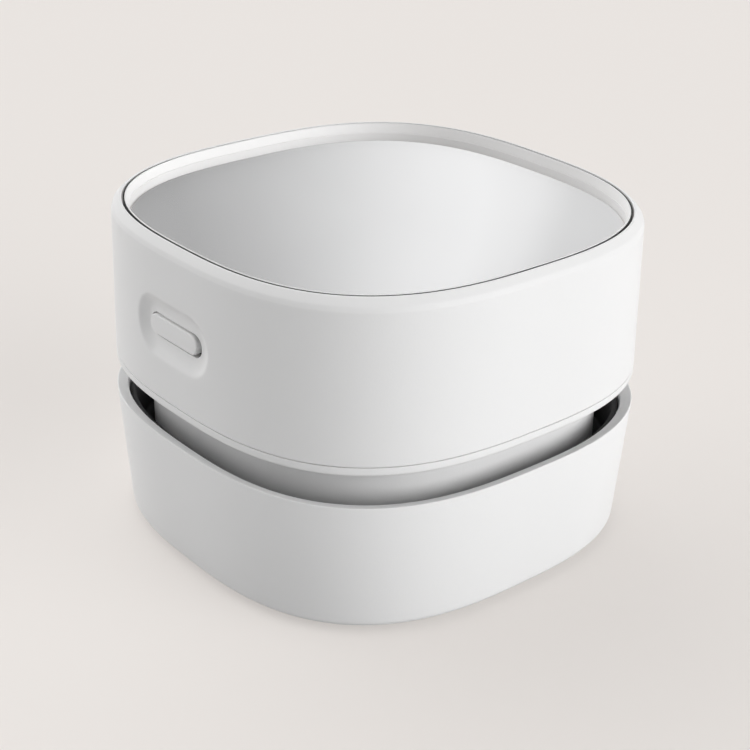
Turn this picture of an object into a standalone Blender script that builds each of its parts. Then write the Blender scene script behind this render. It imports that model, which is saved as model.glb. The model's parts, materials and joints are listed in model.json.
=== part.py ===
"""Desktop mini vacuum cleaner, modelled as an assembly of separate pieces.

A white squircle head holds the motor, fan, battery and switch. It stands on a squircle dust bin and
locks to it with a bayonet. Air enters through the brushed mouth underneath, drops its dust in the bin,
passes the filter and the fan, and leaves through the open gap around the waist.
Metres, +Z up. The origin is on the desk, under the middle of the bin.
"""

import math

import bmesh
import bpy
from mathutils import Matrix, Vector

MM = 0.001

# Plan shape: a superellipse, squarer than a circle and rounder than a square
SQUIRCLE_POWER = 2.76
SQUIRCLE_STEPS = 40
ROUND_STEPS = 32
SMALL_STEPS = 12
QUARTERS = 4

# Clearances and working allowances
SEAT = 0.3 * MM
SHAFT_PLAY = 0.12 * MM
BUTTON_PLAY = 0.25 * MM
OVERRUN = 2.0 * MM
BITE = 0.4 * MM
WELD = 0.001 * MM

# Overall width, at the foot of the head, and how far the other shells stand in or out from it
SHELL_HALF_FOOT = 42.4 * MM
SHELL_DRAFT = 0.4 * MM
BIN_PROUD = 0.2 * MM
BIN_FLARE = 1.7 * MM
WAIST_INSET = 5.4 * MM

# Dust bin, the lower white shell
GLIDE_STAND = 1.0 * MM
BIN_HEIGHT = 23.8 * MM
BIN_WALL = 1.8 * MM
BIN_FLOOR = 1.8 * MM
BIN_RIM_DROP = 0.5 * MM
BIN_FOOT_ROUND = 1.3 * MM
FOOT_ROUND_SHARE = 0.3
COLLAR_INSET = 1.1 * MM
COLLAR_WALL = 2.0 * MM
COLLAR_HEIGHT = 14.6 * MM
COLLAR_STEP = 1.1 * MM
COLLAR_STEP_HEIGHT = 12.6 * MM
BRUSH_RECESS = 4.0 * MM
INNER_FLOOR = 1.5 * MM
INNER_FLOOR_LEDGE = 1.2 * MM
INLET_RADIUS = 7.0 * MM
INLET_WALL = 1.2 * MM
INLET_RISE = 3.5 * MM

# Black liner of the exhaust groove
LINER_WALL = 0.8 * MM
LINER_FLOOR = 1.0 * MM
LINER_RIM_DROP = 0.4 * MM

# Brush plate and its bristle strips
PLATE_EDGE_SINK = 0.2 * MM
PLATE_FLANGE = 1.4 * MM
PLATE_FLANGE_WIDTH = 11.7 * MM
PLATE_MOUTH_STEP = 0.5 * MM
PLATE_MOUTH_WALL = 1.3 * MM
PLATE_RIB_WIDTH = 1.2 * MM
STRIP_COUNT = 4
STRIP_ARC = math.radians(62)
STRIP_INSET = 4.0 * MM
STRIP_WIDTH = 2.6 * MM
STRIP_BACKING = 0.8 * MM
STRIP_CHANNEL = 0.6 * MM
BRISTLE_WIDTH = 1.8 * MM
BRISTLE_CLEAR = 0.3 * MM

# Glide pads
GLIDE_RADIUS = 2.3 * MM
GLIDE_SINK = 0.7 * MM

# Screws
SCREW_SHANK = 0.95 * MM
SCREW_HEAD = 1.8 * MM
SCREW_HEAD_HEIGHT = 0.7 * MM
SCREW_LENGTH = 5.0 * MM
SCREW_BOSS_WALL = 1.2 * MM
SCREW_SLOT = 0.4 * MM
SCREW_SLOT_DEPTH = 0.3 * MM
SHELL_SCREW_LENGTH = 7.0 * MM
SHELL_SCREW_INSET = 1.25 * MM
SHELL_BOSS_HEIGHT = 14.0 * MM
SHELL_BOSS_SHOULDER = 0.9 * MM

# Waist gap and lower cover of the head
VENT_GAP = 5.5 * MM
LIP_HEIGHT = 1.7 * MM
LIP_DRAFT = 0.3 * MM
COVER_RIB_HEIGHT = 2.3 * MM
COVER_RIB_WALL = 1.2 * MM

# Motor pod, the grey waist between head and bin
POD_TAPER = 0.7 * MM
POD_WALL = 1.5 * MM
POD_FLANGE = 1.4 * MM
POD_DECK = 1.8 * MM
POD_LEDGE_WIDTH = 1.5 * MM
POD_LEDGE = 1.0 * MM
POD_BIN_GAP = 0.4 * MM
WINDOW_COUNT = 24
WINDOW_WIDTH = 3.4 * MM
WINDOW_SILL = 1.6 * MM
WINDOW_HEIGHT = 3.6 * MM

# Intake plate with the skirt and bayonet lugs
INTAKE_THICKNESS = 1.2 * MM
INTAKE_HOLE = 11.0 * MM
SKIRT_PLAY = 0.4 * MM
SKIRT_WALL = 1.5 * MM
SKIRT_DEPTH = 4.0 * MM
LUG_COUNT = 3
LUG_ARC = math.radians(9)
LUG_HEIGHT = 1.2 * MM
LUG_REACH = 0.9 * MM
LUG_SINK = 2.5 * MM
LUG_PLAY = 0.3 * MM
LUG_ARC_PLAY = math.radians(1.5)
TWIST = math.radians(20)
SEAL_RADIUS = 0.3 * MM
SEAL_GAP = 0.15 * MM
SEAL_LIP = 0.6 * MM
SEAL_SIDES = 6

# Filter cartridge in the skirt
FILTER_RIM = 2.6 * MM
FILTER_HEIGHT = 2.9 * MM
FILTER_SPOKE = 1.2 * MM
FILTER_SPOKE_HEIGHT = 0.8 * MM
FILTER_PLEAT = 3.6 * MM
FILTER_PLEAT_DEPTH = 0.9 * MM
FLEECE_THICKNESS = 0.7 * MM

# Upper shell, bezel and top plate
SHELL_HEIGHT = 25.95 * MM
SHELL_WALL = 1.9 * MM
RIM_BEVEL_WIDTH = 1.55 * MM
RIM_BEVEL_HEIGHT = 1.9 * MM
RIM_ROUND_WIDTH_SHARE = 0.25
RIM_ROUND_HEIGHT_SHARE = 0.55
RIM_FLAT = 0.25 * MM
LEDGE_WIDTH = 1.6 * MM
LEDGE_THICKNESS = 1.0 * MM
LEDGE_SLOPE = 1.6 * MM
BEZEL_FLAT = 0.3 * MM
BEZEL_BEVEL = 0.85 * MM
BEZEL_BEVEL_HEIGHT = 1.2 * MM
BEZEL_LEDGE_WIDTH = 2.3 * MM
BEZEL_LEDGE = 1.0 * MM
TOP_PLATE_DEPTH = 3.35 * MM
TOP_PLATE_THICKNESS = 1.2 * MM
TOP_PLATE_FIT = 0.15 * MM

# Power button in its dish, on the -X face
DISH_LENGTH = 21.6 * MM
DISH_HEIGHT = 11.6 * MM
DISH_DEPTH = 1.4 * MM
DISH_ROUND = 1.1 * MM
DISH_BACKING = 1.2 * MM
DISH_PAD_MARGIN = 1.0 * MM
BUTTON_LENGTH = 15.5 * MM
BUTTON_HEIGHT = 4.6 * MM
BUTTON_SINK = 0.1 * MM
BUTTON_ROUND = 0.35 * MM
BUTTON_FLANGE_MARGIN = 1.1 * MM
BUTTON_FLANGE = 0.8 * MM
BUTTON_TRAVEL = 0.9 * MM
STEM_RADIUS = 1.4 * MM
STEM_LENGTH = 1.3 * MM
SWITCH_SIDE = 5.8 * MM
SWITCH_BODY_GAP = 1.7 * MM
PLUNGER_SIDE = 2.8 * MM
PLUNGER_INSIDE = 1.1 * MM
PLUNGER_PLAY = 0.25 * MM
BOARD_THICKNESS = 1.4 * MM
SWITCH_BOARD_WIDTH = 14.0 * MM
SWITCH_BOARD_ABOVE = 5.0 * MM
BOARD_POST_SIDE = 3.4 * MM
BOARD_POST_GRIP = 3.0 * MM

# Motor
MOTOR_RADIUS = 12.0 * MM
MOTOR_HEADROOM = 2.9 * MM
MOTOR_CAN_WALL = 0.8 * MM
MOTOR_CAP_HEIGHT = 3.0 * MM
MOTOR_CAP_PLUG = 1.2 * MM
SHAFT_RADIUS = 1.0 * MM
BUSHING_RADIUS = 3.0 * MM
BUSHING_HEIGHT = 3.4 * MM
BUSHING_DROP = 1.5 * MM
MAGNET_WALL = 1.6 * MM
MAGNET_DROP = 4.0 * MM
MAGNET_ARC = math.radians(130)
MAGNET_RISE = 3.0 * MM
AIR_GAP = 0.4 * MM
ARMATURE_POLES = 3
ARMATURE_SLOT = 2.0 * MM
ARMATURE_CORE = 3.6 * MM
COMMUTATOR_RADIUS = 2.6 * MM
COMMUTATOR_HEIGHT = 2.0 * MM
TERMINAL_OFFSET = 7.0 * MM
TERMINAL_WIDTH = 2.4 * MM
TERMINAL_THICKNESS = 0.5 * MM
TERMINAL_HEIGHT = 2.2 * MM
MOTOR_SCREW_RING = 7.5 * MM
MOTOR_SCREW_LENGTH = 2.6 * MM

# Fan
IMPELLER_TIP_GAP = 6.0 * MM
IMPELLER_FLOOR_GAP = 0.6 * MM
IMPELLER_ROOF_GAP = 0.7 * MM
IMPELLER_DISC = 1.0 * MM
IMPELLER_SHROUD = 0.8 * MM
IMPELLER_HUB = 3.6 * MM
BLADE_COUNT = 11
BLADE_INNER = 10.0 * MM
BLADE_THICKNESS = 0.8 * MM
BLADE_SWEEP = math.radians(38)
BLADE_STEPS = 5

# Chassis, battery and boards inside the head
CHASSIS_THICKNESS = 1.4 * MM
CHASSIS_HOLE_MARGIN = 2.0 * MM
CELL_RADIUS = 5.0 * MM
CELL_LENGTH = 43.0 * MM
CELL_STAND = 1.0 * MM
CELL_MOTOR_GAP = 2.0 * MM
CELL_NUB_RADIUS = 2.3 * MM
CELL_NUB = 1.0 * MM
CRADLE_SHARE = 0.66
CRADLE_THICKNESS = 2.0 * MM
CRADLE_HEIGHT = 5.0 * MM
CRADLE_HORN = 1.6 * MM
TAB_THICKNESS = 0.3 * MM
TAB_WIDTH = 5.0 * MM
TAB_REACH = 2.0 * MM
CHARGE_BOARD_LENGTH = 13.0 * MM
CHARGE_BOARD_WIDTH = 16.0 * MM
CHARGE_BOARD_STAND = 2.0 * MM
CHARGE_BOARD_WALL_GAP = 2.0 * MM
PORT_WIDTH = 9.0 * MM
PORT_HEIGHT = 3.3 * MM
PORT_DEPTH = 7.3 * MM
PORT_WALL = 0.35 * MM
PORT_TONGUE = 0.7 * MM
PORT_TONGUE_WIDTH = 6.6 * MM
PORT_BACK = 1.0 * MM
PORT_HOLE_PLAY = 0.35 * MM
LEAD_RADIUS = 0.6 * MM
LEAD_STEP = 2.6 * MM
LEAD_SPREAD = 3.5 * MM
LEAD_ARCH = 1.6 * MM
LEAD_SWING = 1.5 * MM
LEAD_WAY_SHARES = (0.12, 0.45, 0.85)
LEAD_CLIMB_SHARES = (0.6, 0.95, 1.0)
LEAD_SWING_SHARES = (0.5, 1.0, 0.4)

# Half widths and rings, worked out inwards from the overall width
CORNER_REACH = 2 ** (1 / 2 - 1 / SQUIRCLE_POWER)
SHELL_HALF_TOP = SHELL_HALF_FOOT - SHELL_DRAFT
BIN_HALF_RIM = SHELL_HALF_FOOT + BIN_PROUD
BIN_HALF_FOOT = BIN_HALF_RIM - BIN_FLARE
POD_HALF = SHELL_HALF_FOOT - WAIST_INSET
INTAKE_HALF = POD_HALF - POD_TAPER - POD_WALL - SEAT
COLLAR_BORE = INTAKE_HALF - COLLAR_INSET
COLLAR_OUTER = COLLAR_BORE + COLLAR_WALL
IMPELLER_RADIUS = INTAKE_HALF - IMPELLER_TIP_GAP
PLATE_EDGE = COLLAR_BORE - SEAT
PLATE_MOUTH_RADIUS = PLATE_EDGE - PLATE_FLANGE_WIDTH
BRUSH_SCREW_RING = (PLATE_MOUTH_RADIUS + PLATE_RIB_WIDTH + PLATE_EDGE) / 2
STRIP_RING = PLATE_MOUTH_RADIUS - STRIP_INSET
GLIDE_RING = (COLLAR_BORE + (BIN_HALF_FOOT - BIN_FOOT_ROUND) * CORNER_REACH) / 2
SHELL_SCREW_RING = (SHELL_HALF_FOOT - SHELL_WALL) * CORNER_REACH - SHELL_SCREW_INSET
CELL_Y = MOTOR_RADIUS + CELL_MOTOR_GAP + CELL_RADIUS

# Levels, worked out upwards from the desk
BIN_EDGE_Z = GLIDE_STAND
BIN_RIM_Z = BIN_EDGE_Z + BIN_HEIGHT
FLOOR_TOP_Z = BIN_EDGE_Z + BIN_FLOOR
RECESS_Z = BIN_EDGE_Z + BRUSH_RECESS
CHAMBER_Z = RECESS_Z + INNER_FLOOR
COLLAR_TOP_Z = BIN_EDGE_Z + COLLAR_HEIGHT
COLLAR_STEP_Z = BIN_EDGE_Z + COLLAR_STEP_HEIGHT
COLLAR_FOOT_Z = FLOOR_TOP_Z + SEAT
LINER_FLOOR_Z = COLLAR_STEP_Z + SEAT
LINER_RIM_Z = BIN_RIM_Z - BIN_RIM_DROP - LINER_RIM_DROP
PLATE_TOP_Z = RECESS_Z - SEAT
PLATE_MOUTH_Z = PLATE_TOP_Z - PLATE_MOUTH_WALL
PLATE_EDGE_Z = BIN_EDGE_Z + PLATE_EDGE_SINK
STRIP_ROOF_Z = PLATE_MOUTH_Z + STRIP_CHANNEL - SEAT
STRIP_FLOOR_Z = STRIP_ROOF_Z - STRIP_BACKING
LIP_Z = BIN_RIM_Z + VENT_GAP
PARTING_Z = LIP_Z + LIP_HEIGHT
COVER_TOP_Z = PARTING_Z - SEAT
BEVEL_Z = PARTING_Z + SHELL_HEIGHT
TOP_Z = BEVEL_Z + RIM_BEVEL_HEIGHT
TOP_PLATE_Z = TOP_Z - TOP_PLATE_DEPTH
BEZEL_LEDGE_Z = TOP_PLATE_Z - TOP_PLATE_THICKNESS - SEAT
BEZEL_FOOT_Z = BEZEL_LEDGE_Z - BEZEL_LEDGE
LEDGE_Z = BEZEL_FOOT_Z - SEAT
POD_FOOT_Z = COLLAR_TOP_Z + POD_BIN_GAP
INTAKE_TOP_Z = POD_FOOT_Z + INTAKE_THICKNESS
SKIRT_FOOT_Z = POD_FOOT_Z - SKIRT_DEPTH
WINDOW_Z = POD_FOOT_Z + WINDOW_SILL
FAN_FOOT_Z = INTAKE_TOP_Z + IMPELLER_FLOOR_GAP
DECK_Z = WINDOW_Z + WINDOW_HEIGHT + WINDOW_SILL
DECK_TOP_Z = DECK_Z + POD_DECK
FAN_TOP_Z = DECK_Z - IMPELLER_ROOF_GAP
FLANGE_Z = COVER_TOP_Z + SEAT
FLANGE_TOP_Z = FLANGE_Z + POD_FLANGE
CHASSIS_Z = FLANGE_TOP_Z + SEAT
CHASSIS_TOP_Z = CHASSIS_Z + CHASSIS_THICKNESS
MOTOR_Z = DECK_TOP_Z + SEAT
MOTOR_TOP_Z = TOP_PLATE_Z - TOP_PLATE_THICKNESS - MOTOR_HEADROOM - TERMINAL_HEIGHT
MOTOR_CAP_Z = MOTOR_TOP_Z - MOTOR_CAP_HEIGHT
MOTOR_CAN_TOP_Z = MOTOR_CAP_Z - SEAT
MAGNET_Z = MOTOR_Z + MAGNET_RISE
MAGNET_TOP_Z = MOTOR_CAN_TOP_Z - MAGNET_DROP
SWITCH_Z = (PARTING_Z + BEVEL_Z) / 2
CELL_Z = CHASSIS_TOP_Z + CELL_STAND + CELL_RADIUS
BOARD_Z = CHASSIS_TOP_Z + CHARGE_BOARD_STAND + SEAT
PORT_Z = BOARD_Z + BOARD_THICKNESS + SEAT + PORT_HEIGHT / 2

# Colours, as the photograph shows them
WHITE = (0.86, 0.86, 0.86)
PEARL = (0.70, 0.70, 0.71)
POD_GREY = (0.55, 0.55, 0.56)
BLACK = (0.018, 0.018, 0.019)
DARK_GREY = (0.10, 0.10, 0.11)
STEEL = (0.62, 0.62, 0.63)
COPPER = (0.72, 0.40, 0.22)
BRASS = (0.78, 0.62, 0.32)
BOARD_GREEN = (0.03, 0.20, 0.08)
NYLON = (0.80, 0.80, 0.78)
FILTER_WHITE = (0.88, 0.88, 0.85)
CELL_BLUE = (0.05, 0.16, 0.42)
LEAD_RED = (0.55, 0.03, 0.03)

for old in list(bpy.data.objects):
    bpy.data.objects.remove(old)
vacuum = bpy.data.collections.new("desktop_mini_vacuum")
cutters = bpy.data.collections.new("cutters")
bpy.context.scene.collection.children.link(vacuum)
bpy.context.scene.collection.children.link(cutters)


def squircle_reach(angle):
    """How far the squircle's edge lies from its middle, for a half width of one."""
    spread = abs(math.cos(angle)) ** SQUIRCLE_POWER + abs(math.sin(angle)) ** SQUIRCLE_POWER
    return spread ** (-1 / SQUIRCLE_POWER)


def bin_half(z):
    """Half width of the bin's outside at a height."""
    share = (z - BIN_EDGE_Z) / BIN_HEIGHT
    return BIN_HALF_FOOT + share * (BIN_HALF_RIM - BIN_HALF_FOOT)


def shell_half(z):
    """Half width of the head's outside at a height, below its bevel."""
    share = (z - PARTING_Z) / SHELL_HEIGHT
    return SHELL_HALF_FOOT + share * (SHELL_HALF_TOP - SHELL_HALF_FOOT)


def pod_half(z):
    """Half width of the tapering waist at a height."""
    share = (FLANGE_Z - z) / (FLANGE_Z - POD_FOOT_Z)
    return POD_HALF - share * POD_TAPER


def material(name, colour, roughness, metallic=0.0):
    """A plain Principled material, shared by name."""
    found = bpy.data.materials.get(name)
    if found:
        return found
    made = bpy.data.materials.new(name)
    made.use_nodes = True
    shader = made.node_tree.nodes["Principled BSDF"]
    shader.inputs["Base Color"].default_value = (*colour, 1)
    shader.inputs["Roughness"].default_value = roughness
    shader.inputs["Metallic"].default_value = metallic
    return made


def add_object(name, data):
    """A new object in the model's collection."""
    made = bpy.data.objects.new(name, data)
    vacuum.objects.link(made)
    return made


def as_tool(obj):
    """Turns an object into a cutter or a shape that is joined to another."""
    vacuum.objects.unlink(obj)
    cutters.objects.link(obj)
    obj.hide_render = True
    obj.display_type = "WIRE"
    return obj


def finish(obj, finish_material):
    """Gives a piece its material and smooth shading with sharp corners."""
    obj.data.materials.clear()
    obj.data.materials.append(finish_material)
    if obj.type == "MESH":
        obj.data.shade_smooth()
        obj.data.set_sharp_from_angle(angle=math.radians(35))
    return obj


def baked(obj):
    """The object's evaluated shape as a plain mesh object of the same name, with its seams welded."""
    bpy.context.view_layer.update()
    graph = bpy.context.evaluated_depsgraph_get()
    mesh = bpy.data.meshes.new_from_object(obj.evaluated_get(graph))
    name, world = obj.name, obj.matrix_world.copy()
    bpy.data.objects.remove(obj)
    shape = bmesh.new()
    shape.from_mesh(mesh)
    bmesh.ops.remove_doubles(shape, verts=shape.verts, dist=WELD)
    bmesh.ops.recalc_face_normals(shape, faces=shape.faces)
    shape.to_mesh(mesh)
    shape.free()
    made = add_object(name, mesh)
    made.matrix_world = world
    return made


def boolean(obj, other, operation):
    """Adds an exact Boolean of that kind, with its seams welded, and hides the other shape."""
    step = obj.modifiers.new(operation.lower(), "BOOLEAN")
    step.operation = operation
    step.object = as_tool(other)
    seam = obj.modifiers.new("weld", "WELD")
    seam.merge_threshold = WELD
    return obj


def cut(obj, *others):
    """Cuts each other shape from the object."""
    for other in others:
        boolean(obj, other, "DIFFERENCE")
    return obj


def join(obj, *others):
    """Fuses each other shape to the object."""
    for other in others:
        boolean(obj, other, "UNION")
    return obj


def turned(name, profile, steps=ROUND_STEPS):
    """A solid turned about Z from a closed outline of (radius, height) points."""
    mesh = bpy.data.meshes.new(name)
    edges = [(i, (i + 1) % len(profile)) for i in range(len(profile))]
    axis_points = [i for i, (radius, _) in enumerate(profile) if radius == 0]
    if len(axis_points) == 2:
        edges = [edge for edge in edges if set(edge) != set(axis_points)]
    mesh.from_pydata([(radius, 0, z) for radius, z in profile], edges, [])
    made = add_object(name, mesh)
    spin = made.modifiers.new("turn", "SCREW")
    spin.steps = spin.render_steps = steps
    spin.use_merge_vertices = True
    spin.merge_threshold = WELD
    return baked(made)


def squircle_turned(name, profile, round_within=0.0):
    """A solid like turned, with its sections stretched to the squircle, so that a radius is a half width.

    Sections no wider than round_within stay round.
    """
    made = turned(name, profile, SQUIRCLE_STEPS)
    for point in made.data.vertices:
        if math.hypot(point.co.x, point.co.y) > round_within + WELD:
            reach = squircle_reach(math.atan2(point.co.y, point.co.x))
            point.co.x *= reach
            point.co.y *= reach
    return made


def slab(name, outlines, low, high):
    """A flat plate between two heights from closed outlines of (x, y) points. A second outline is a hole."""
    curve = bpy.data.curves.new(name, "CURVE")
    curve.dimensions = "2D"
    curve.fill_mode = "BOTH"
    curve.extrude = (high - low) / 2
    for outline in outlines:
        spline = curve.splines.new("POLY")
        spline.points.add(len(outline) - 1)
        spline.use_cyclic_u = True
        for point, (x, y) in zip(spline.points, outline):
            point.co = (x, y, 0, 1)
    made = add_object(name, curve)
    made.location.z = (low + high) / 2
    return baked(made)


def circle_points(radius, steps=ROUND_STEPS, x=0, y=0):
    """Points round a circle."""
    turns = [math.tau * i / steps for i in range(steps)]
    return [(x + radius * math.cos(turn), y + radius * math.sin(turn)) for turn in turns]


def squircle_points(half):
    """Points round a squircle of that half width."""
    turns = [math.tau * i / SQUIRCLE_STEPS for i in range(SQUIRCLE_STEPS)]
    return [
        (half * squircle_reach(turn) * math.cos(turn), half * squircle_reach(turn) * math.sin(turn))
        for turn in turns
    ]


def pill_points(length, height, steps=SMALL_STEPS):
    """Points round a slot shape, long in X, with half-round ends."""
    radius = height / 2
    middle = length / 2 - radius
    ends = [math.pi * (i / steps - 0.5) for i in range(steps + 1)]
    right = [(middle + radius * math.cos(turn), radius * math.sin(turn)) for turn in ends]
    return right + [(-x, -y) for x, y in right]


def sector_points(inner, outer, start, stop, steps=SMALL_STEPS):
    """Points round a piece of a ring between two angles."""
    turns = [start + (stop - start) * i / steps for i in range(steps + 1)]
    far = [(outer * math.cos(turn), outer * math.sin(turn)) for turn in turns]
    near = [(inner * math.cos(turn), inner * math.sin(turn)) for turn in reversed(turns)]
    return far + near


def block(name, low, high):
    """A box between two corners."""
    mesh = bpy.data.meshes.new(name)
    shape = bmesh.new()
    size = Vector(high) - Vector(low)
    middle = (Vector(high) + Vector(low)) / 2
    bmesh.ops.create_cube(shape, size=1, matrix=Matrix.Translation(middle) @ Matrix.Diagonal((*size, 1)))
    shape.to_mesh(mesh)
    shape.free()
    return add_object(name, mesh)


def rod(name, radius, start, end, steps=ROUND_STEPS, end_radius=None):
    """A round rod or cone between two points."""
    start, end = Vector(start), Vector(end)
    way = end - start
    mesh = bpy.data.meshes.new(name)
    shape = bmesh.new()
    place = Matrix.Translation((start + end) / 2) @ way.to_track_quat("Z", "Y").to_matrix().to_4x4()
    last = radius if end_radius is None else end_radius
    bmesh.ops.create_cone(
        shape, cap_ends=True, segments=steps, radius1=radius, radius2=last, depth=way.length, matrix=place
    )
    shape.to_mesh(mesh)
    shape.free()
    return add_object(name, mesh)


def together(name, shapes):
    """Several shapes that don't touch, as one cutter mesh."""
    whole = bmesh.new()
    for shape in shapes:
        bpy.context.view_layer.update()
        part = shape.data.copy()
        part.transform(shape.matrix_world)
        whole.from_mesh(part)
        bpy.data.objects.remove(shape)
    mesh = bpy.data.meshes.new(name)
    whole.to_mesh(mesh)
    whole.free()
    return add_object(name, mesh)


def around(count, phase=0.0):
    """Evenly spaced angles."""
    return [phase + math.tau * i / count for i in range(count)]


def polar(radius, angle, z):
    """A point at an angle round the axis."""
    return Vector((radius * math.cos(angle), radius * math.sin(angle), z))


def side_pill(name, length, height, near, far, side=-1):
    """A slot-shaped bar that runs along X, between two distances from the axis, on one side of it."""
    made = slab(name, [pill_points(length, height)], near, far)
    middle = (near + far) / 2
    made.matrix_world = (
        Matrix.Translation((side * middle, 0, SWITCH_Z if side < 0 else PORT_Z))
        @ Matrix(((0, 0, side, 0), (side, 0, 0, 0), (0, 1, 0, 0), (0, 0, 0, 1)))
    )
    bpy.context.view_layer.update()
    return made


DIAGONALS = around(QUARTERS, math.pi / QUARTERS)
white_plastic = material("satin_white_plastic", WHITE, 0.38)
pearl_plastic = material("gloss_pearl_plate", PEARL, 0.12)
pod_plastic = material("grey_pod_plastic", POD_GREY, 0.42)
black_plastic = material("black_plastic", BLACK, 0.55)
dark_plastic = material("dark_plastic", DARK_GREY, 0.50)
steel = material("steel", STEEL, 0.30, 1.0)
copper = material("copper", COPPER, 0.35, 1.0)
brass = material("brass", BRASS, 0.30, 1.0)
board_green = material("board_green", BOARD_GREEN, 0.45)
nylon = material("nylon_bristle", NYLON, 0.50)
filter_white = material("filter_fleece", FILTER_WHITE, 0.90)
rubber = material("rubber", DARK_GREY, 0.75)
ferrite = material("magnet_ferrite", DARK_GREY, 0.60)
cell_wrap = material("cell_wrap", CELL_BLUE, 0.35)
red_wire = material("red_wire", LEAD_RED, 0.50)


def screw(name, x, y, head_z, length, way=1):
    """A pan-head screw with a driver slot. Its head's outer face is at head_z, and it points up or down."""
    neck_z = head_z + way * SCREW_HEAD_HEIGHT
    made = rod(name, SCREW_HEAD, (x, y, head_z), (x, y, neck_z), SMALL_STEPS)
    shank = rod(
        name + "_shank", SCREW_SHANK, (x, y, neck_z - way * BITE), (x, y, neck_z + way * length), SMALL_STEPS
    )
    slot_z = sorted((head_z - way * OVERRUN, head_z + way * SCREW_SLOT_DEPTH))
    slot = block(
        name + "_slot",
        (x - SCREW_HEAD - OVERRUN, y - SCREW_SLOT / 2, slot_z[0]),
        (x + SCREW_HEAD + OVERRUN, y + SCREW_SLOT / 2, slot_z[1]),
    )
    join(made, shank)
    cut(made, slot)
    return finish(made, steel)


def make_dust_bin():
    """Lower white shell: squircle wall, and a floor with a round hole for the brush plate."""
    cup = squircle_turned(
        "dust_bin",
        [
            (bin_half(BIN_RIM_Z) - BIN_WALL, BIN_RIM_Z - BIN_RIM_DROP),
            (BIN_HALF_RIM, BIN_RIM_Z),
            (bin_half(BIN_EDGE_Z + BIN_FOOT_ROUND), BIN_EDGE_Z + BIN_FOOT_ROUND),
            (BIN_HALF_FOOT - BIN_FOOT_ROUND * FOOT_ROUND_SHARE, BIN_EDGE_Z + BIN_FOOT_ROUND * FOOT_ROUND_SHARE),
            (BIN_HALF_FOOT - BIN_FOOT_ROUND, BIN_EDGE_Z),
            (COLLAR_BORE, BIN_EDGE_Z),
            (COLLAR_BORE, FLOOR_TOP_Z),
            (bin_half(FLOOR_TOP_Z) - BIN_WALL, FLOOR_TOP_Z),
        ],
        COLLAR_BORE,
    )
    glide_seats = [
        rod(
            f"glide_seat_{i}",
            GLIDE_RADIUS + SHAFT_PLAY,
            polar(GLIDE_RING, angle, BIN_EDGE_Z - OVERRUN),
            polar(GLIDE_RING, angle, BIN_EDGE_Z + GLIDE_SINK + SEAT),
            SMALL_STEPS,
        )
        for i, angle in enumerate(DIAGONALS)
    ]
    cut(cup, together("glide_seats", glide_seats))
    return finish(cup, white_plastic)


def make_bin_collar():
    """Round ring on the bin's floor, with a ledge inside for the chamber floor and slots for the bayonet."""
    step = COLLAR_OUTER + COLLAR_STEP
    ledge_z = RECESS_Z - SEAT
    collar = turned(
        "bin_collar",
        [
            (COLLAR_OUTER, COLLAR_TOP_Z),
            (COLLAR_OUTER, COLLAR_STEP_Z),
            (step, COLLAR_STEP_Z),
            (step, COLLAR_FOOT_Z),
            (COLLAR_BORE - INNER_FLOOR_LEDGE, COLLAR_FOOT_Z),
            (COLLAR_BORE - INNER_FLOOR_LEDGE, ledge_z),
            (COLLAR_BORE, ledge_z),
            (COLLAR_BORE, COLLAR_TOP_Z),
        ],
        SQUIRCLE_STEPS,
    )
    cut(collar, make_bayonet_slots())
    return finish(collar, white_plastic)


def make_bin_floor():
    """Round floor of the dust chamber: it lies on the collar's ledge and takes the brush plate's screws."""
    disc = turned(
        "bin_floor",
        [
            (PLATE_EDGE, CHAMBER_Z),
            (PLATE_EDGE, RECESS_Z),
            (INLET_RADIUS + INLET_WALL + SEAT, RECESS_Z),
            (INLET_RADIUS + INLET_WALL + SEAT, CHAMBER_Z),
        ],
        SQUIRCLE_STEPS,
    )
    screw_top = PLATE_EDGE_Z + SCREW_HEAD_HEIGHT + SCREW_LENGTH
    bosses = [
        rod(
            f"brush_boss_{i}",
            SCREW_SHANK + SCREW_BOSS_WALL,
            polar(BRUSH_SCREW_RING, angle, CHAMBER_Z - BITE),
            polar(BRUSH_SCREW_RING, angle, screw_top + SCREW_BOSS_WALL),
            SMALL_STEPS,
        )
        for i, angle in enumerate(DIAGONALS)
    ]
    pilots = [
        rod(
            f"brush_pilot_{i}",
            SCREW_SHANK + SHAFT_PLAY,
            polar(BRUSH_SCREW_RING, angle, RECESS_Z - OVERRUN),
            polar(BRUSH_SCREW_RING, angle, screw_top + SEAT),
            SMALL_STEPS,
        )
        for i, angle in enumerate(DIAGONALS)
    ]
    join(disc, together("brush_bosses", bosses))
    cut(disc, together("brush_pilots", pilots))
    return finish(disc, white_plastic)


def make_inlet_tube():
    """Short duct that stands on the brush plate and passes through the chamber floor."""
    top = CHAMBER_Z + INLET_RISE
    tube = turned(
        "inlet_tube",
        [
            (INLET_RADIUS + INLET_WALL, top),
            (INLET_RADIUS + INLET_WALL, RECESS_Z),
            (INLET_RADIUS, RECESS_Z),
            (INLET_RADIUS, top),
        ],
    )
    return finish(tube, dark_plastic)


def lug_levels():
    """Lowest and highest height of the bayonet lugs."""
    high = POD_FOOT_Z - LUG_SINK + LUG_HEIGHT
    return high - LUG_HEIGHT, high


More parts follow.
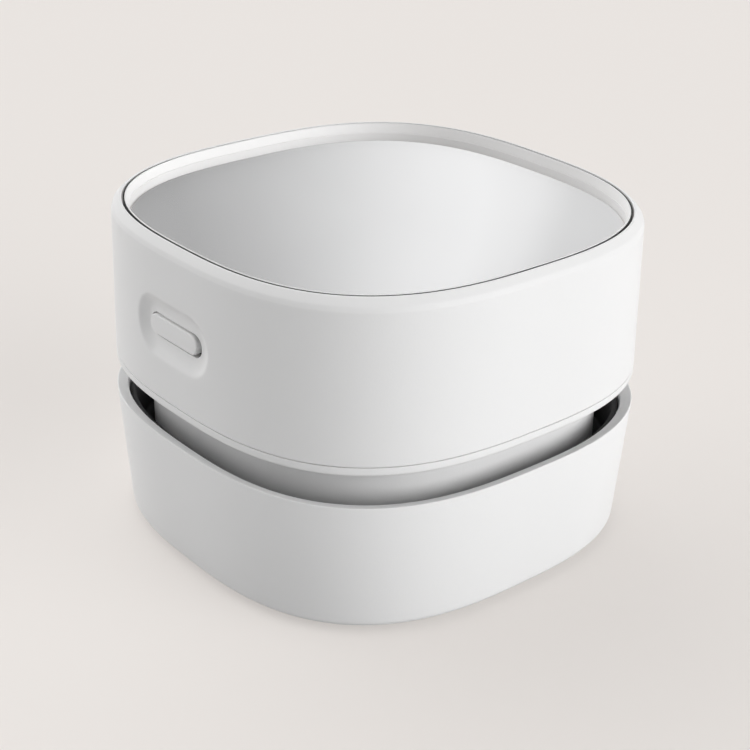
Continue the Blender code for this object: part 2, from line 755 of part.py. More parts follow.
def make_bayonet_slots():
    """L-shaped grooves in the collar's bore: an entry from the top at the unlocked end, and a level run."""
    low, high = lug_levels()
    near = COLLAR_BORE - OVERRUN
    far = COLLAR_BORE - SKIRT_PLAY + LUG_REACH + LUG_PLAY
    reach = LUG_ARC / 2 + LUG_ARC_PLAY
    shapes = []
    for i, angle in enumerate(around(LUG_COUNT)):
        run = sector_points(near, far, angle - reach, angle + TWIST + reach)
        shapes.append(slab(f"slot_run_{i}", [run], low - LUG_PLAY, high + LUG_PLAY))
    slots = together("bayonet_runs", shapes)
    for i, angle in enumerate(around(LUG_COUNT)):
        entry = sector_points(near, far, angle + TWIST - reach, angle + TWIST + reach, SMALL_STEPS // 3)
        join(slots, slab(f"slot_entry_{i}", [entry], high, COLLAR_TOP_Z + OVERRUN))
    return slots


def make_exhaust_liner():
    """Black ring that lines the groove round the waist. It rests on the collar's step."""
    foot = bin_half(LINER_FLOOR_Z) - BIN_WALL - SEAT
    rim = bin_half(LINER_RIM_Z) - BIN_WALL - SEAT
    bore = COLLAR_OUTER + SEAT
    liner = squircle_turned(
        "exhaust_liner",
        [
            (rim - LINER_WALL, LINER_RIM_Z),
            (rim, LINER_RIM_Z),
            (foot, LINER_FLOOR_Z),
            (bore, LINER_FLOOR_Z),
            (bore, LINER_FLOOR_Z + LINER_FLOOR),
            (foot - LINER_WALL, LINER_FLOOR_Z + LINER_FLOOR),
        ],
        bore,
    )
    return finish(liner, black_plastic)


def make_brush_plate():
    """Round plate in the bin's underside: a flat flange, a raised mouth and four channels for bristles."""
    flange_top = PLATE_EDGE_Z + PLATE_FLANGE
    plate = turned(
        "brush_plate",
        [
            (PLATE_EDGE, flange_top),
            (PLATE_EDGE, PLATE_EDGE_Z),
            (PLATE_MOUTH_RADIUS, PLATE_EDGE_Z),
            (PLATE_MOUTH_RADIUS - PLATE_MOUTH_STEP, PLATE_MOUTH_Z),
            (INLET_RADIUS + PLATE_MOUTH_STEP, PLATE_MOUTH_Z),
            (INLET_RADIUS, PLATE_TOP_Z),
            (PLATE_MOUTH_RADIUS + PLATE_RIB_WIDTH, PLATE_TOP_Z),
            (PLATE_MOUTH_RADIUS + PLATE_RIB_WIDTH, flange_top),
        ],
    )
    spacers = [
        rod(
            f"plate_spacer_{i}",
            SCREW_SHANK + SCREW_BOSS_WALL,
            polar(BRUSH_SCREW_RING, angle, flange_top - BITE),
            polar(BRUSH_SCREW_RING, angle, PLATE_TOP_Z),
            SMALL_STEPS,
        )
        for i, angle in enumerate(DIAGONALS)
    ]
    join(plate, together("plate_spacers", spacers))
    shapes = []
    for i, angle in enumerate(DIAGONALS):
        head_z = PLATE_EDGE_Z + SCREW_HEAD_HEIGHT + SEAT
        shapes.append(
            rod(
                f"head_seat_{i}",
                SCREW_HEAD + SEAT,
                polar(BRUSH_SCREW_RING, angle, PLATE_EDGE_Z - OVERRUN),
                polar(BRUSH_SCREW_RING, angle, head_z),
                SMALL_STEPS,
            )
        )
    for i, angle in enumerate(around(STRIP_COUNT)):
        half = STRIP_ARC / 2 + SEAT / STRIP_RING
        channel = sector_points(
            STRIP_RING - STRIP_WIDTH / 2 - SEAT,
            STRIP_RING + STRIP_WIDTH / 2 + SEAT,
            angle - half,
            angle + half,
        )
        shapes.append(
            slab(f"channel_{i}", [channel], PLATE_MOUTH_Z - OVERRUN, PLATE_MOUTH_Z + STRIP_CHANNEL)
        )
    holes = [
        rod(
            f"shank_hole_{i}",
            SCREW_SHANK + SHAFT_PLAY,
            polar(BRUSH_SCREW_RING, angle, PLATE_EDGE_Z - OVERRUN),
            polar(BRUSH_SCREW_RING, angle, PLATE_TOP_Z + OVERRUN),
            SMALL_STEPS,
        )
        for i, angle in enumerate(DIAGONALS)
    ]
    cut(plate, together("plate_seats", shapes), together("plate_holes", holes))
    return finish(plate, white_plastic)


def make_bristle_strip(number, angle):
    """A curved backing and its band of nylon bristles."""
    start, stop = angle - STRIP_ARC / 2, angle + STRIP_ARC / 2
    backing = sector_points(STRIP_RING - STRIP_WIDTH / 2, STRIP_RING + STRIP_WIDTH / 2, start, stop)
    inset = (STRIP_WIDTH - BRISTLE_WIDTH) / 2 / STRIP_RING
    band = sector_points(
        STRIP_RING - BRISTLE_WIDTH / 2, STRIP_RING + BRISTLE_WIDTH / 2, start + inset, stop - inset
    )
    strip = slab(f"bristle_strip_{number}", [backing], STRIP_FLOOR_Z, STRIP_ROOF_Z)
    join(strip, slab(f"bristle_band_{number}", [band], BRISTLE_CLEAR, STRIP_FLOOR_Z + BITE))
    return finish(strip, nylon)


def make_lower_cover():
    """White closing plate under the head. Its edge shows as the thin lip below the parting line."""
    cover = squircle_turned(
        "lower_cover",
        [
            (SHELL_HALF_FOOT, COVER_TOP_Z),
            (SHELL_HALF_FOOT - LIP_DRAFT, LIP_Z + LIP_DRAFT),
            (SHELL_HALF_FOOT - LIP_DRAFT * 2, LIP_Z),
            (POD_HALF + SEAT, LIP_Z),
            (POD_HALF + SEAT, COVER_TOP_Z),
            (shell_half(PARTING_Z) - SHELL_WALL - SEAT - COVER_RIB_WALL, COVER_TOP_Z),
            (shell_half(PARTING_Z) - SHELL_WALL - SEAT - COVER_RIB_WALL, COVER_TOP_Z + COVER_RIB_HEIGHT),
            (shell_half(PARTING_Z) - SHELL_WALL - SEAT, COVER_TOP_Z + COVER_RIB_HEIGHT),
            (shell_half(PARTING_Z) - SHELL_WALL - SEAT, COVER_TOP_Z),
        ],
    )
    holes = []
    notches = []
    for i, angle in enumerate(DIAGONALS):
        base = polar(SHELL_SCREW_RING, angle, LIP_Z)
        top = polar(SHELL_SCREW_RING, angle, COVER_TOP_Z)
        up = Vector((0, 0, OVERRUN + COVER_RIB_HEIGHT))
        holes.append(rod(f"cover_hole_{i}", SCREW_SHANK + SHAFT_PLAY, base - up, top + up, SMALL_STEPS))
        notches.append(
            rod(
                f"cover_seat_{i}",
                SCREW_HEAD + SHAFT_PLAY,
                base - up,
                base + Vector((0, 0, SCREW_HEAD_HEIGHT + SEAT)),
                SMALL_STEPS,
            )
        )
        notches.append(
            rod(f"cover_notch_{i}", SCREW_SHANK + SCREW_BOSS_WALL + SEAT, top, top + up, SMALL_STEPS)
        )
    cut(cover, together("cover_notches", notches), together("cover_holes", holes))
    return finish(cover, white_plastic)


def corner_notches(name, low, high):
    """Clearance round the shell's four screw bosses for a plate between two heights."""
    return together(
        name,
        [
            rod(
                f"{name}_{i}",
                SCREW_SHANK + SCREW_BOSS_WALL + SEAT,
                polar(SHELL_SCREW_RING, angle, low - OVERRUN),
                polar(SHELL_SCREW_RING, angle, high + OVERRUN),
                SMALL_STEPS,
            )
            for i, angle in enumerate(DIAGONALS)
        ],
    )


def inside_rib():
    """Half width of what fits inside the cover's locating rib."""
    return shell_half(PARTING_Z) - SHELL_WALL - SEAT - COVER_RIB_WALL - SEAT


def make_motor_pod():
    """Grey waist: a wall with exhaust windows that hangs through the cover, and a ledge for the deck."""
    ledge_top = DECK_Z - SEAT
    ledge_foot = ledge_top - POD_LEDGE
    pod = squircle_turned(
        "motor_pod",
        [
            (inside_rib(), FLANGE_TOP_Z),
            (inside_rib(), FLANGE_Z),
            (pod_half(FLANGE_Z), FLANGE_Z),
            (pod_half(POD_FOOT_Z), POD_FOOT_Z),
            (pod_half(POD_FOOT_Z) - POD_WALL, POD_FOOT_Z),
            (pod_half(ledge_foot) - POD_WALL, ledge_foot),
            (pod_half(ledge_foot) - POD_WALL - POD_LEDGE_WIDTH, ledge_foot),
            (pod_half(ledge_foot) - POD_WALL - POD_LEDGE_WIDTH, ledge_top),
            (pod_half(ledge_top) - POD_WALL, ledge_top),
            (pod_half(FLANGE_Z) - POD_WALL, FLANGE_TOP_Z),
        ],
    )
    windows = []
    for i, angle in enumerate(around(WINDOW_COUNT, math.pi / WINDOW_COUNT)):
        made = block(
            f"window_{i}",
            (IMPELLER_RADIUS, -WINDOW_WIDTH / 2, WINDOW_Z),
            (POD_HALF * squircle_reach(math.pi / 4) + OVERRUN, WINDOW_WIDTH / 2, WINDOW_Z + WINDOW_HEIGHT),
        )
        made.rotation_euler.z = angle
        windows.append(made)
    cut(pod, together("pod_windows", windows), corner_notches("pod_notches", FLANGE_Z, FLANGE_TOP_Z))
    return finish(pod, pod_plastic)


def make_motor_deck():
    """Plate across the waist, on its ledge. The motor stands on it and is screwed from below."""
    half = pod_half(DECK_Z) - POD_WALL - SEAT
    bore = BUSHING_RADIUS + SEAT
    deck = squircle_turned(
        "motor_deck", [(half, DECK_TOP_Z), (half, DECK_Z), (bore, DECK_Z), (bore, DECK_TOP_Z)], bore
    )
    holes = []
    seats = []
    for side in (-1, 1):
        x = side * MOTOR_SCREW_RING
        holes.append(
            rod(
                f"motor_hole_{side}",
                SCREW_SHANK + SHAFT_PLAY,
                (x, 0, DECK_Z - OVERRUN),
                (x, 0, DECK_TOP_Z + OVERRUN),
                SMALL_STEPS,
            )
        )
        seats.append(
            rod(
                f"motor_head_{side}",
                SCREW_HEAD + SHAFT_PLAY,
                (x, 0, DECK_Z - OVERRUN),
                (x, 0, DECK_Z + SCREW_HEAD_HEIGHT + SEAT),
                SMALL_STEPS,
            )
        )
    cut(deck, together("motor_holes", holes), together("motor_head_seats", seats))
    return finish(deck, pod_plastic)


def make_intake_plate():
    """Closes the fan chamber. Its round skirt enters the bin's collar and carries the bayonet lugs."""
    outer = COLLAR_BORE - SKIRT_PLAY
    inner = outer - SKIRT_WALL
    groove_bottom = SKIRT_FOOT_Z + SEAL_LIP
    groove_top = groove_bottom + (SEAL_RADIUS + SEAL_GAP) * 2
    groove = COLLAR_BORE - (SEAL_RADIUS + SEAL_GAP) * 2
    plate = squircle_turned(
        "intake_plate",
        [
            (INTAKE_HALF, INTAKE_TOP_Z),
            (INTAKE_HALF, POD_FOOT_Z),
            (outer, POD_FOOT_Z),
            (outer, groove_top),
            (groove, groove_top),
            (groove, groove_bottom),
            (outer, groove_bottom),
            (outer, SKIRT_FOOT_Z),
            (inner, SKIRT_FOOT_Z),
            (inner, POD_FOOT_Z),
            (INTAKE_HOLE, POD_FOOT_Z),
            (INTAKE_HOLE, INTAKE_TOP_Z),
        ],
        outer,
    )
    low, high = lug_levels()
    lugs = []
    for i, angle in enumerate(around(LUG_COUNT)):
        arc = sector_points(
            outer - SKIRT_WALL / 2, outer + LUG_REACH, angle - LUG_ARC / 2, angle + LUG_ARC / 2, SMALL_STEPS // 3
        )
        lugs.append(slab(f"lug_{i}", [arc], low, high))
    join(plate, together("lugs", lugs))
    return finish(plate, dark_plastic)


def make_seal_ring():
    """Rubber ring at the foot of the skirt, which seals it to the collar's bore."""
    bpy.ops.mesh.primitive_torus_add(
        major_radius=COLLAR_BORE - SEAL_GAP - SEAL_RADIUS,
        minor_radius=SEAL_RADIUS,
        major_segments=SQUIRCLE_STEPS,
        minor_segments=SEAL_SIDES,
        location=(0, 0, SKIRT_FOOT_Z + SEAL_LIP + SEAL_GAP + SEAL_RADIUS),
    )
    ring = bpy.context.object
    ring.name = "seal_ring"
    for owner in list(ring.users_collection):
        owner.objects.unlink(ring)
    vacuum.objects.link(ring)
    return finish(ring, rubber)


def filter_levels():
    """Lowest and highest height of the filter cartridge."""
    high = POD_FOOT_Z - SEAT
    return high - FILTER_HEIGHT, high


def make_filter_frame():
    """Ring that holds the filter, with a cross of spokes underneath."""
    low, high = filter_levels()
    outer = COLLAR_BORE - SKIRT_PLAY - SKIRT_WALL - SEAT
    frame = turned(
        "filter_frame",
        [(outer, high), (outer, low), (outer - FILTER_RIM, low), (outer - FILTER_RIM, high)],
    )
    reach = outer - FILTER_RIM / 2
    spokes = block(
        "spoke_x", (-reach, -FILTER_SPOKE / 2, low), (reach, FILTER_SPOKE / 2, low + FILTER_SPOKE_HEIGHT)
    )
    cross = block(
        "spoke_y", (-FILTER_SPOKE / 2, -reach, low), (FILTER_SPOKE / 2, reach, low + FILTER_SPOKE_HEIGHT)
    )
    join(frame, spokes, cross)
    return finish(frame, dark_plastic)


def make_filter_pad():
    """Pleated fleece disc in the frame. Its pleats run along Y."""
    low, _ = filter_levels()
    radius = COLLAR_BORE - SKIRT_PLAY - SKIRT_WALL - SEAT - FILTER_RIM - SEAT
    foot = low + FILTER_SPOKE_HEIGHT + SEAT
    count = int(radius // FILTER_PLEAT) + 1
    folds = [(i * FILTER_PLEAT / 2, i % 2 * FILTER_PLEAT_DEPTH) for i in range(-2 * count, 2 * count + 1)]
    outline = folds + [(x, height + FLEECE_THICKNESS) for x, height in reversed(folds)]
    pleats = slab("pleats", [outline], -radius - OVERRUN, radius + OVERRUN)
    pleats.matrix_world = Matrix.Translation((0, 0, foot)) @ Matrix.Rotation(math.pi / 2, 4, "X")
    top = foot + FILTER_PLEAT_DEPTH + FLEECE_THICKNESS
    pad = rod("filter_pad", radius, (0, 0, foot - OVERRUN), (0, 0, top + OVERRUN))
    boolean(pad, pleats, "INTERSECT")
    return finish(pad, filter_white)


def make_upper_shell():
    """Head's outer shell: squircle wall, bevelled rim, bezel ledge, screw bosses, button dish and port."""
    seam = SHELL_HALF_TOP - RIM_BEVEL_WIDTH - RIM_FLAT
    slope_z = LEDGE_Z - LEDGE_THICKNESS - LEDGE_SLOPE
    shell = squircle_turned(
        "upper_shell",
        [
            (seam, TOP_Z),
            (seam + RIM_FLAT, TOP_Z),
            (
                SHELL_HALF_TOP - RIM_BEVEL_WIDTH * RIM_ROUND_WIDTH_SHARE,
                BEVEL_Z + RIM_BEVEL_HEIGHT * RIM_ROUND_HEIGHT_SHARE,
            ),
            (SHELL_HALF_TOP, BEVEL_Z),
            (SHELL_HALF_FOOT, PARTING_Z),
            (SHELL_HALF_FOOT - SHELL_WALL, PARTING_Z),
            (shell_half(slope_z) - SHELL_WALL, slope_z),
            (seam - LEDGE_WIDTH, LEDGE_Z - LEDGE_THICKNESS),
            (seam - LEDGE_WIDTH, LEDGE_Z),
            (seam, LEDGE_Z),
        ],
    )
    boss_radius = SCREW_SHANK + SCREW_BOSS_WALL
    surface = shell_half(SWITCH_Z)
    floor = surface - DISH_DEPTH
    inner = floor - DISH_BACKING
    pad = side_pill(
        "dish_pad",
        DISH_LENGTH + DISH_PAD_MARGIN * 2,
        DISH_HEIGHT + DISH_PAD_MARGIN * 2,
        inner,
        surface - SHELL_WALL / 2,
    )
    dish = side_pill("dish", DISH_LENGTH, DISH_HEIGHT, floor, surface + OVERRUN)
    rounding = dish.modifiers.new("round", "BEVEL")
    rounding.width = DISH_ROUND
    rounding.segments = 3
    rounding.limit_method = "ANGLE"
    rounding.angle_limit = math.radians(60)
    hole = side_pill(
        "button_hole",
        BUTTON_LENGTH + BUTTON_PLAY * 2,
        BUTTON_HEIGHT + BUTTON_PLAY * 2,
        inner - OVERRUN,
        surface + OVERRUN,
    )
    port = side_pill(
        "port_hole",
        PORT_WIDTH + PORT_HOLE_PLAY * 2,
        PORT_HEIGHT + PORT_HOLE_PLAY * 2,
        shell_half(PORT_Z) - SHELL_WALL - OVERRUN,
        shell_half(PORT_Z) + OVERRUN,
        side=1,
    )
    bosses = []
    for i, angle in enumerate(DIAGONALS):
        boss = turned(
            f"shell_boss_{i}",
            [
                (0, COVER_TOP_Z + SHELL_BOSS_HEIGHT),
                (boss_radius, COVER_TOP_Z + SHELL_BOSS_HEIGHT),
                (boss_radius + SHELL_BOSS_SHOULDER, COVER_TOP_Z + SHELL_BOSS_HEIGHT - SHELL_BOSS_SHOULDER),
                (boss_radius + SHELL_BOSS_SHOULDER, CHASSIS_TOP_Z + SEAT),
                (boss_radius, CHASSIS_TOP_Z + SEAT),
                (boss_radius, COVER_TOP_Z + SEAT),
                (0, COVER_TOP_Z + SEAT),
            ],
            SMALL_STEPS,
        )
        boss.location = polar(SHELL_SCREW_RING, angle, 0)
        bosses.append(boss)
    pilots = [
        rod(
            f"shell_pilot_{i}",
            SCREW_SHANK + SHAFT_PLAY,
            polar(SHELL_SCREW_RING, angle, PARTING_Z - OVERRUN),
            polar(SHELL_SCREW_RING, angle, LIP_Z + SCREW_HEAD_HEIGHT + SHELL_SCREW_LENGTH + SEAT),
            SMALL_STEPS,
        )
        for i, angle in enumerate(DIAGONALS)
    ]
    join(shell, pad, together("shell_bosses", bosses))
    cut(shell, dish, together("button_and_port", [hole, port]), together("shell_pilots", pilots))
    return finish(shell, white_plastic)


def bezel_outer():
    """Half width of the bezel, inside the thin seam at the rim."""
    return SHELL_HALF_TOP - RIM_BEVEL_WIDTH - RIM_FLAT - SEAT


def make_top_bezel():
    """White inner ring of the rim: it slopes in from the seam and holds the top plate on its ledge."""
    outer = bezel_outer()
    wall = outer - BEZEL_FLAT - BEZEL_BEVEL
    bezel = squircle_turned(
        "top_bezel",
        [
            (outer, TOP_Z),
            (outer, BEZEL_FOOT_Z),
            (wall - BEZEL_LEDGE_WIDTH, BEZEL_FOOT_Z),
            (wall - BEZEL_LEDGE_WIDTH, BEZEL_LEDGE_Z),
            (wall, BEZEL_LEDGE_Z),
            (wall, TOP_Z - BEZEL_BEVEL_HEIGHT),
            (outer - BEZEL_FLAT, TOP_Z),
        ],
    )
    return finish(bezel, white_plastic)


def make_top_plate():
    """Glossy plate sunk in the top."""
    half = bezel_outer() - BEZEL_FLAT - BEZEL_BEVEL - TOP_PLATE_FIT
    foot = TOP_PLATE_Z - TOP_PLATE_THICKNESS
    plate = squircle_turned(
        "top_plate", [(half, TOP_PLATE_Z), (half, foot), (0, foot), (0, TOP_PLATE_Z)]
    )
    return finish(plate, pearl_plastic)


def button_places():
    """Distances from the axis of the button's face, floor, flange, stem end and switch."""
    surface = shell_half(SWITCH_Z)
    flange = surface - DISH_DEPTH - DISH_BACKING - SEAT
    stem_root = flange - BUTTON_FLANGE
    stem_end = stem_root - STEM_LENGTH
    switch_face = stem_end - SHAFT_PLAY - SWITCH_BODY_GAP
    return surface, flange, stem_root, stem_end, switch_face


def make_power_button():
    """Pill-shaped cap with a hidden flange and a stem that reaches the switch."""
    surface, flange, stem_root, stem_end, _ = button_places()
    cap = side_pill("power_button", BUTTON_LENGTH, BUTTON_HEIGHT, flange - BITE, surface - BUTTON_SINK)
    rounding = cap.modifiers.new("round", "BEVEL")
    rounding.width = BUTTON_ROUND
    rounding.segments = 2
    rounding.limit_method = "ANGLE"
    rounding.angle_limit = math.radians(60)
    margin = BUTTON_FLANGE_MARGIN * 2
    plate = side_pill("button_flange", BUTTON_LENGTH + margin, BUTTON_HEIGHT + margin, stem_root, flange)
    stem = rod(
        "button_stem", STEM_RADIUS, (-stem_end, 0, SWITCH_Z), (-stem_root - BITE, 0, SWITCH_Z), SMALL_STEPS
    )
    join(cap, plate, stem)
    return finish(cap, white_plastic)


def make_switch():
    """Latching switch, its plunger and the small upright board behind it."""
    _, _, _, stem_end, face = button_places()
    back = face - SWITCH_SIDE
    half = SWITCH_SIDE / 2
    body = block("switch_body", (-face, -half, SWITCH_Z - half), (-back, half, SWITCH_Z + half))
    bore_half = PLUNGER_SIDE / 2 + PLUNGER_PLAY
    bore_end = face - PLUNGER_INSIDE - BUTTON_TRAVEL - SEAT
    bore = block(
        "plunger_bore",
        (-face - OVERRUN, -bore_half, SWITCH_Z - bore_half),
        (-bore_end, bore_half, SWITCH_Z + bore_half),
    )
    cut(body, bore)
    finish(body, black_plastic)
    side = PLUNGER_SIDE / 2
    plunger = block(
        "switch_plunger",
        (-stem_end + SHAFT_PLAY, -side, SWITCH_Z - side),
        (-face + PLUNGER_INSIDE, side, SWITCH_Z + side),
    )
    finish(plunger, dark_plastic)
    board_face = back - SEAT
    board = block(
        "switch_board",
        (-board_face, -SWITCH_BOARD_WIDTH / 2, CHASSIS_TOP_Z + CHARGE_BOARD_STAND + SEAT),
        (-board_face + BOARD_THICKNESS, SWITCH_BOARD_WIDTH / 2, SWITCH_Z + SWITCH_BOARD_ABOVE),
    )
    finish(board, board_green)


def make_motor():
    """Small brushed motor: can, bushing, magnets, end cap and terminals, and the parts that spin."""
    bore = MOTOR_RADIUS - MOTOR_CAN_WALL
    can = turned(
        "motor_can",
        [
            (MOTOR_RADIUS, MOTOR_CAN_TOP_Z),
            (MOTOR_RADIUS, MOTOR_Z),
            (BUSHING_RADIUS + SHAFT_PLAY, MOTOR_Z),
            (BUSHING_RADIUS + SHAFT_PLAY, MOTOR_Z + MOTOR_CAN_WALL),
            (bore, MOTOR_Z + MOTOR_CAN_WALL),
            (bore, MOTOR_CAN_TOP_Z),
        ],
    )
    threads = [
        rod(
            f"motor_thread_{side}",
            SCREW_SHANK + SHAFT_PLAY,
            (side * MOTOR_SCREW_RING, 0, MOTOR_Z - OVERRUN),
            (side * MOTOR_SCREW_RING, 0, MOTOR_Z + OVERRUN),
            SMALL_STEPS,
        )
        for side in (-1, 1)
    ]
    cut(can, together("motor_threads", threads))
    finish(can, steel)
    bushing_foot = MOTOR_Z - BUSHING_DROP
    bushing = turned(
        "motor_bushing",
        [
            (BUSHING_RADIUS, bushing_foot + BUSHING_HEIGHT),
            (BUSHING_RADIUS, bushing_foot),
            (SHAFT_RADIUS + SHAFT_PLAY, bushing_foot),
            (SHAFT_RADIUS + SHAFT_PLAY, bushing_foot + BUSHING_HEIGHT),
        ],
        SMALL_STEPS,
    )
    finish(bushing, brass)
    magnet_outer = bore - SHAFT_PLAY
    for number, angle in enumerate(around(2, math.pi / 2), 1):
        arc = sector_points(
            magnet_outer - MAGNET_WALL, magnet_outer, angle - MAGNET_ARC / 2, angle + MAGNET_ARC / 2
        )
        finish(slab(f"motor_magnet_{number}", [arc], MAGNET_Z, MAGNET_TOP_Z), ferrite)
    cap = turned(
        "motor_end_cap",
        [
            (MOTOR_RADIUS, MOTOR_TOP_Z),
            (MOTOR_RADIUS, MOTOR_CAP_Z),
            (bore - SEAT, MOTOR_CAP_Z),
            (bore - SEAT, MOTOR_CAP_Z - MOTOR_CAP_PLUG),
            (SHAFT_RADIUS + SHAFT_PLAY, MOTOR_CAP_Z - MOTOR_CAP_PLUG),
            (SHAFT_RADIUS + SHAFT_PLAY, MOTOR_TOP_Z),
        ],
    )
    slots = []
    for side in (-1, 1):
        y = side * TERMINAL_OFFSET
        slots.append(
            block(
                f"terminal_slot_{side}",
                (-TERMINAL_WIDTH / 2 - SHAFT_PLAY, y - TERMINAL_THICKNESS / 2 - SHAFT_PLAY, MOTOR_CAP_Z),
                (TERMINAL_WIDTH / 2 + SHAFT_PLAY, y + TERMINAL_THICKNESS / 2 + SHAFT_PLAY, MOTOR_TOP_Z + OVERRUN),
            )
        )
    cut(cap, together("terminal_slots", slots))
    finish(cap, white_plastic)
    for number, side in enumerate((-1, 1), 1):
        y = side * TERMINAL_OFFSET
        blade = block(
            f"motor_terminal_{number}",
            (-TERMINAL_WIDTH / 2, y - TERMINAL_THICKNESS / 2, MOTOR_CAP_Z + SHAFT_PLAY),
            (TERMINAL_WIDTH / 2, y + TERMINAL_THICKNESS / 2, MOTOR_TOP_Z + TERMINAL_HEIGHT),
        )
        finish(blade, brass)
    shaft = rod(
        "motor_shaft", SHAFT_RADIUS, (0, 0, FAN_FOOT_Z), (0, 0, MOTOR_TOP_Z - MOTOR_CAP_HEIGHT / 2), SMALL_STEPS
    )
    finish(shaft, steel)
    armature_radius = magnet_outer - MAGNET_WALL - AIR_GAP
    armature_bore = SHAFT_RADIUS + SHAFT_PLAY
    armature = turned(
        "armature",
        [
            (armature_radius, MAGNET_TOP_Z),
            (armature_radius, MAGNET_Z),
            (armature_bore, MAGNET_Z),
            (armature_bore, MAGNET_TOP_Z),
        ],
        SMALL_STEPS * 2,
    )
    gaps = []
    for i, angle in enumerate(around(ARMATURE_POLES)):
        gap = block(
            f"pole_gap_{i}",
            (ARMATURE_CORE, -ARMATURE_SLOT / 2, MAGNET_Z - OVERRUN),
            (armature_radius + OVERRUN, ARMATURE_SLOT / 2, MAGNET_TOP_Z + OVERRUN),
        )
        gap.rotation_euler.z = angle
        gaps.append(gap)
    cut(armature, together("pole_gaps", gaps))
    finish(armature, copper)
    commutator_z = MAGNET_TOP_Z + SEAT
    ring = turned(
        "commutator",
        [
            (COMMUTATOR_RADIUS, commutator_z + COMMUTATOR_HEIGHT),
            (COMMUTATOR_RADIUS, commutator_z),
            (armature_bore, commutator_z),
            (armature_bore, commutator_z + COMMUTATOR_HEIGHT),
        ],
        SMALL_STEPS,
    )
    finish(ring, copper)


def make_fan():
    """Centrifugal fan: a disc with its hub on the shaft, and below it a ring of swept-back blades."""
    disc_z = FAN_TOP_Z - IMPELLER_DISC
    bore = SHAFT_RADIUS + SHAFT_PLAY
    disc = turned(
        "fan_disc",
        [
            (IMPELLER_RADIUS, FAN_TOP_Z),
            (IMPELLER_RADIUS, disc_z),
            (IMPELLER_HUB, disc_z),
            (IMPELLER_HUB - BITE, FAN_FOOT_Z),
            (bore, FAN_FOOT_Z),
            (bore, FAN_TOP_Z),
        ],
    )
    finish(disc, dark_plastic)
    shroud_z = FAN_FOOT_Z + IMPELLER_SHROUD
    ring = turned(
        "fan_blades",
        [
            (IMPELLER_RADIUS, shroud_z),
            (IMPELLER_RADIUS, FAN_FOOT_Z),
            (BLADE_INNER, FAN_FOOT_Z),
            (BLADE_INNER, shroud_z),
        ],
    )
    root, tip = BLADE_INNER + BITE, IMPELLER_RADIUS - BITE
    blades = []
    for i, angle in enumerate(around(BLADE_COUNT)):
        sides = []
        for offset in (BLADE_THICKNESS / 2, -BLADE_THICKNESS / 2):
            for step in range(BLADE_STEPS + 1):
                share = step / BLADE_STEPS
                radius = root + share * (tip - root)
                turn = angle - BLADE_SWEEP * share**1.5
                sides.append(polar(radius, turn + offset / radius, 0).xy)
        outline = sides[: BLADE_STEPS + 1] + sides[: BLADE_STEPS : -1]
        blades.append(slab(f"blade_{i}", [outline], shroud_z - BITE, disc_z - SEAT))
    join(ring, together("blades", blades))
    return finish(ring, dark_plastic)


def make_chassis():
    """Inner plate of the head, with the battery's cradle and the posts that hold both boards."""
    hole = MOTOR_RADIUS + CHASSIS_HOLE_MARGIN
    plate = slab(
        "chassis", [squircle_points(inside_rib()), circle_points(hole)], CHASSIS_Z, CHASSIS_TOP_Z
    )
    ribs = []
    width = CELL_RADIUS + CRADLE_HORN
    for i, side in enumerate((-1, 1)):
        x = side * CELL_LENGTH / 2 * CRADLE_SHARE
        ribs.append(
            block(
                f"cradle_{i}",
                (x - CRADLE_THICKNESS / 2, CELL_Y - width, CHASSIS_TOP_Z - BITE),
                (x + CRADLE_THICKNESS / 2, CELL_Y + width, CHASSIS_TOP_Z + CRADLE_HEIGHT),
            )
        )
    _, _, _, _, face = button_places()
    board_middle = face - SWITCH_SIDE - SEAT - BOARD_THICKNESS / 2
    post_half = BOARD_THICKNESS / 2 + SEAT + COVER_RIB_WALL
    post_foot = CHASSIS_TOP_Z - BITE
    board_foot = CHASSIS_TOP_Z + CHARGE_BOARD_STAND + SEAT
    for i, side in enumerate((-1, 1)):
        y = side * (SWITCH_BOARD_WIDTH / 2 - BOARD_POST_SIDE / 2)
        ribs.append(
            block(
                f"switch_post_{i}",
                (-board_middle - post_half, y - BOARD_POST_SIDE / 2, post_foot),
                (-board_middle + post_half, y + BOARD_POST_SIDE / 2, board_foot + BOARD_POST_GRIP),
            )
        )
        y = side * (CHARGE_BOARD_WIDTH / 2 - BOARD_POST_SIDE / 2)
        far = shell_half(BOARD_Z) - SHELL_WALL - CHARGE_BOARD_WALL_GAP
        ribs.append(
            block(
                f"charge_post_{i}",
                (far - CHARGE_BOARD_LENGTH, y - BOARD_POST_SIDE / 2, post_foot),
                (far - BOARD_POST_SIDE, y + BOARD_POST_SIDE / 2, BOARD_Z - SEAT),
            )
        )
    grip = BOARD_THICKNESS / 2 + SEAT
    board_slot = block(
        "board_slot",
        (-board_middle - grip, -SWITCH_BOARD_WIDTH / 2 - OVERRUN, board_foot - SEAT),
        (-board_middle + grip, SWITCH_BOARD_WIDTH / 2 + OVERRUN, board_foot + BOARD_POST_GRIP + OVERRUN),
    )
    cell_space = rod(
        "cell_space", CELL_RADIUS + SEAT, (-CELL_LENGTH / 2, CELL_Y, CELL_Z), (CELL_LENGTH / 2, CELL_Y, CELL_Z)
    )
    join(plate, together("chassis_ribs", ribs))
    cut(
        plate,
        together("chassis_slots", [board_slot, cell_space]),
        corner_notches("chassis_notches", CHASSIS_Z, CHASSIS_TOP_Z),
    )
    return finish(plate, dark_plastic)


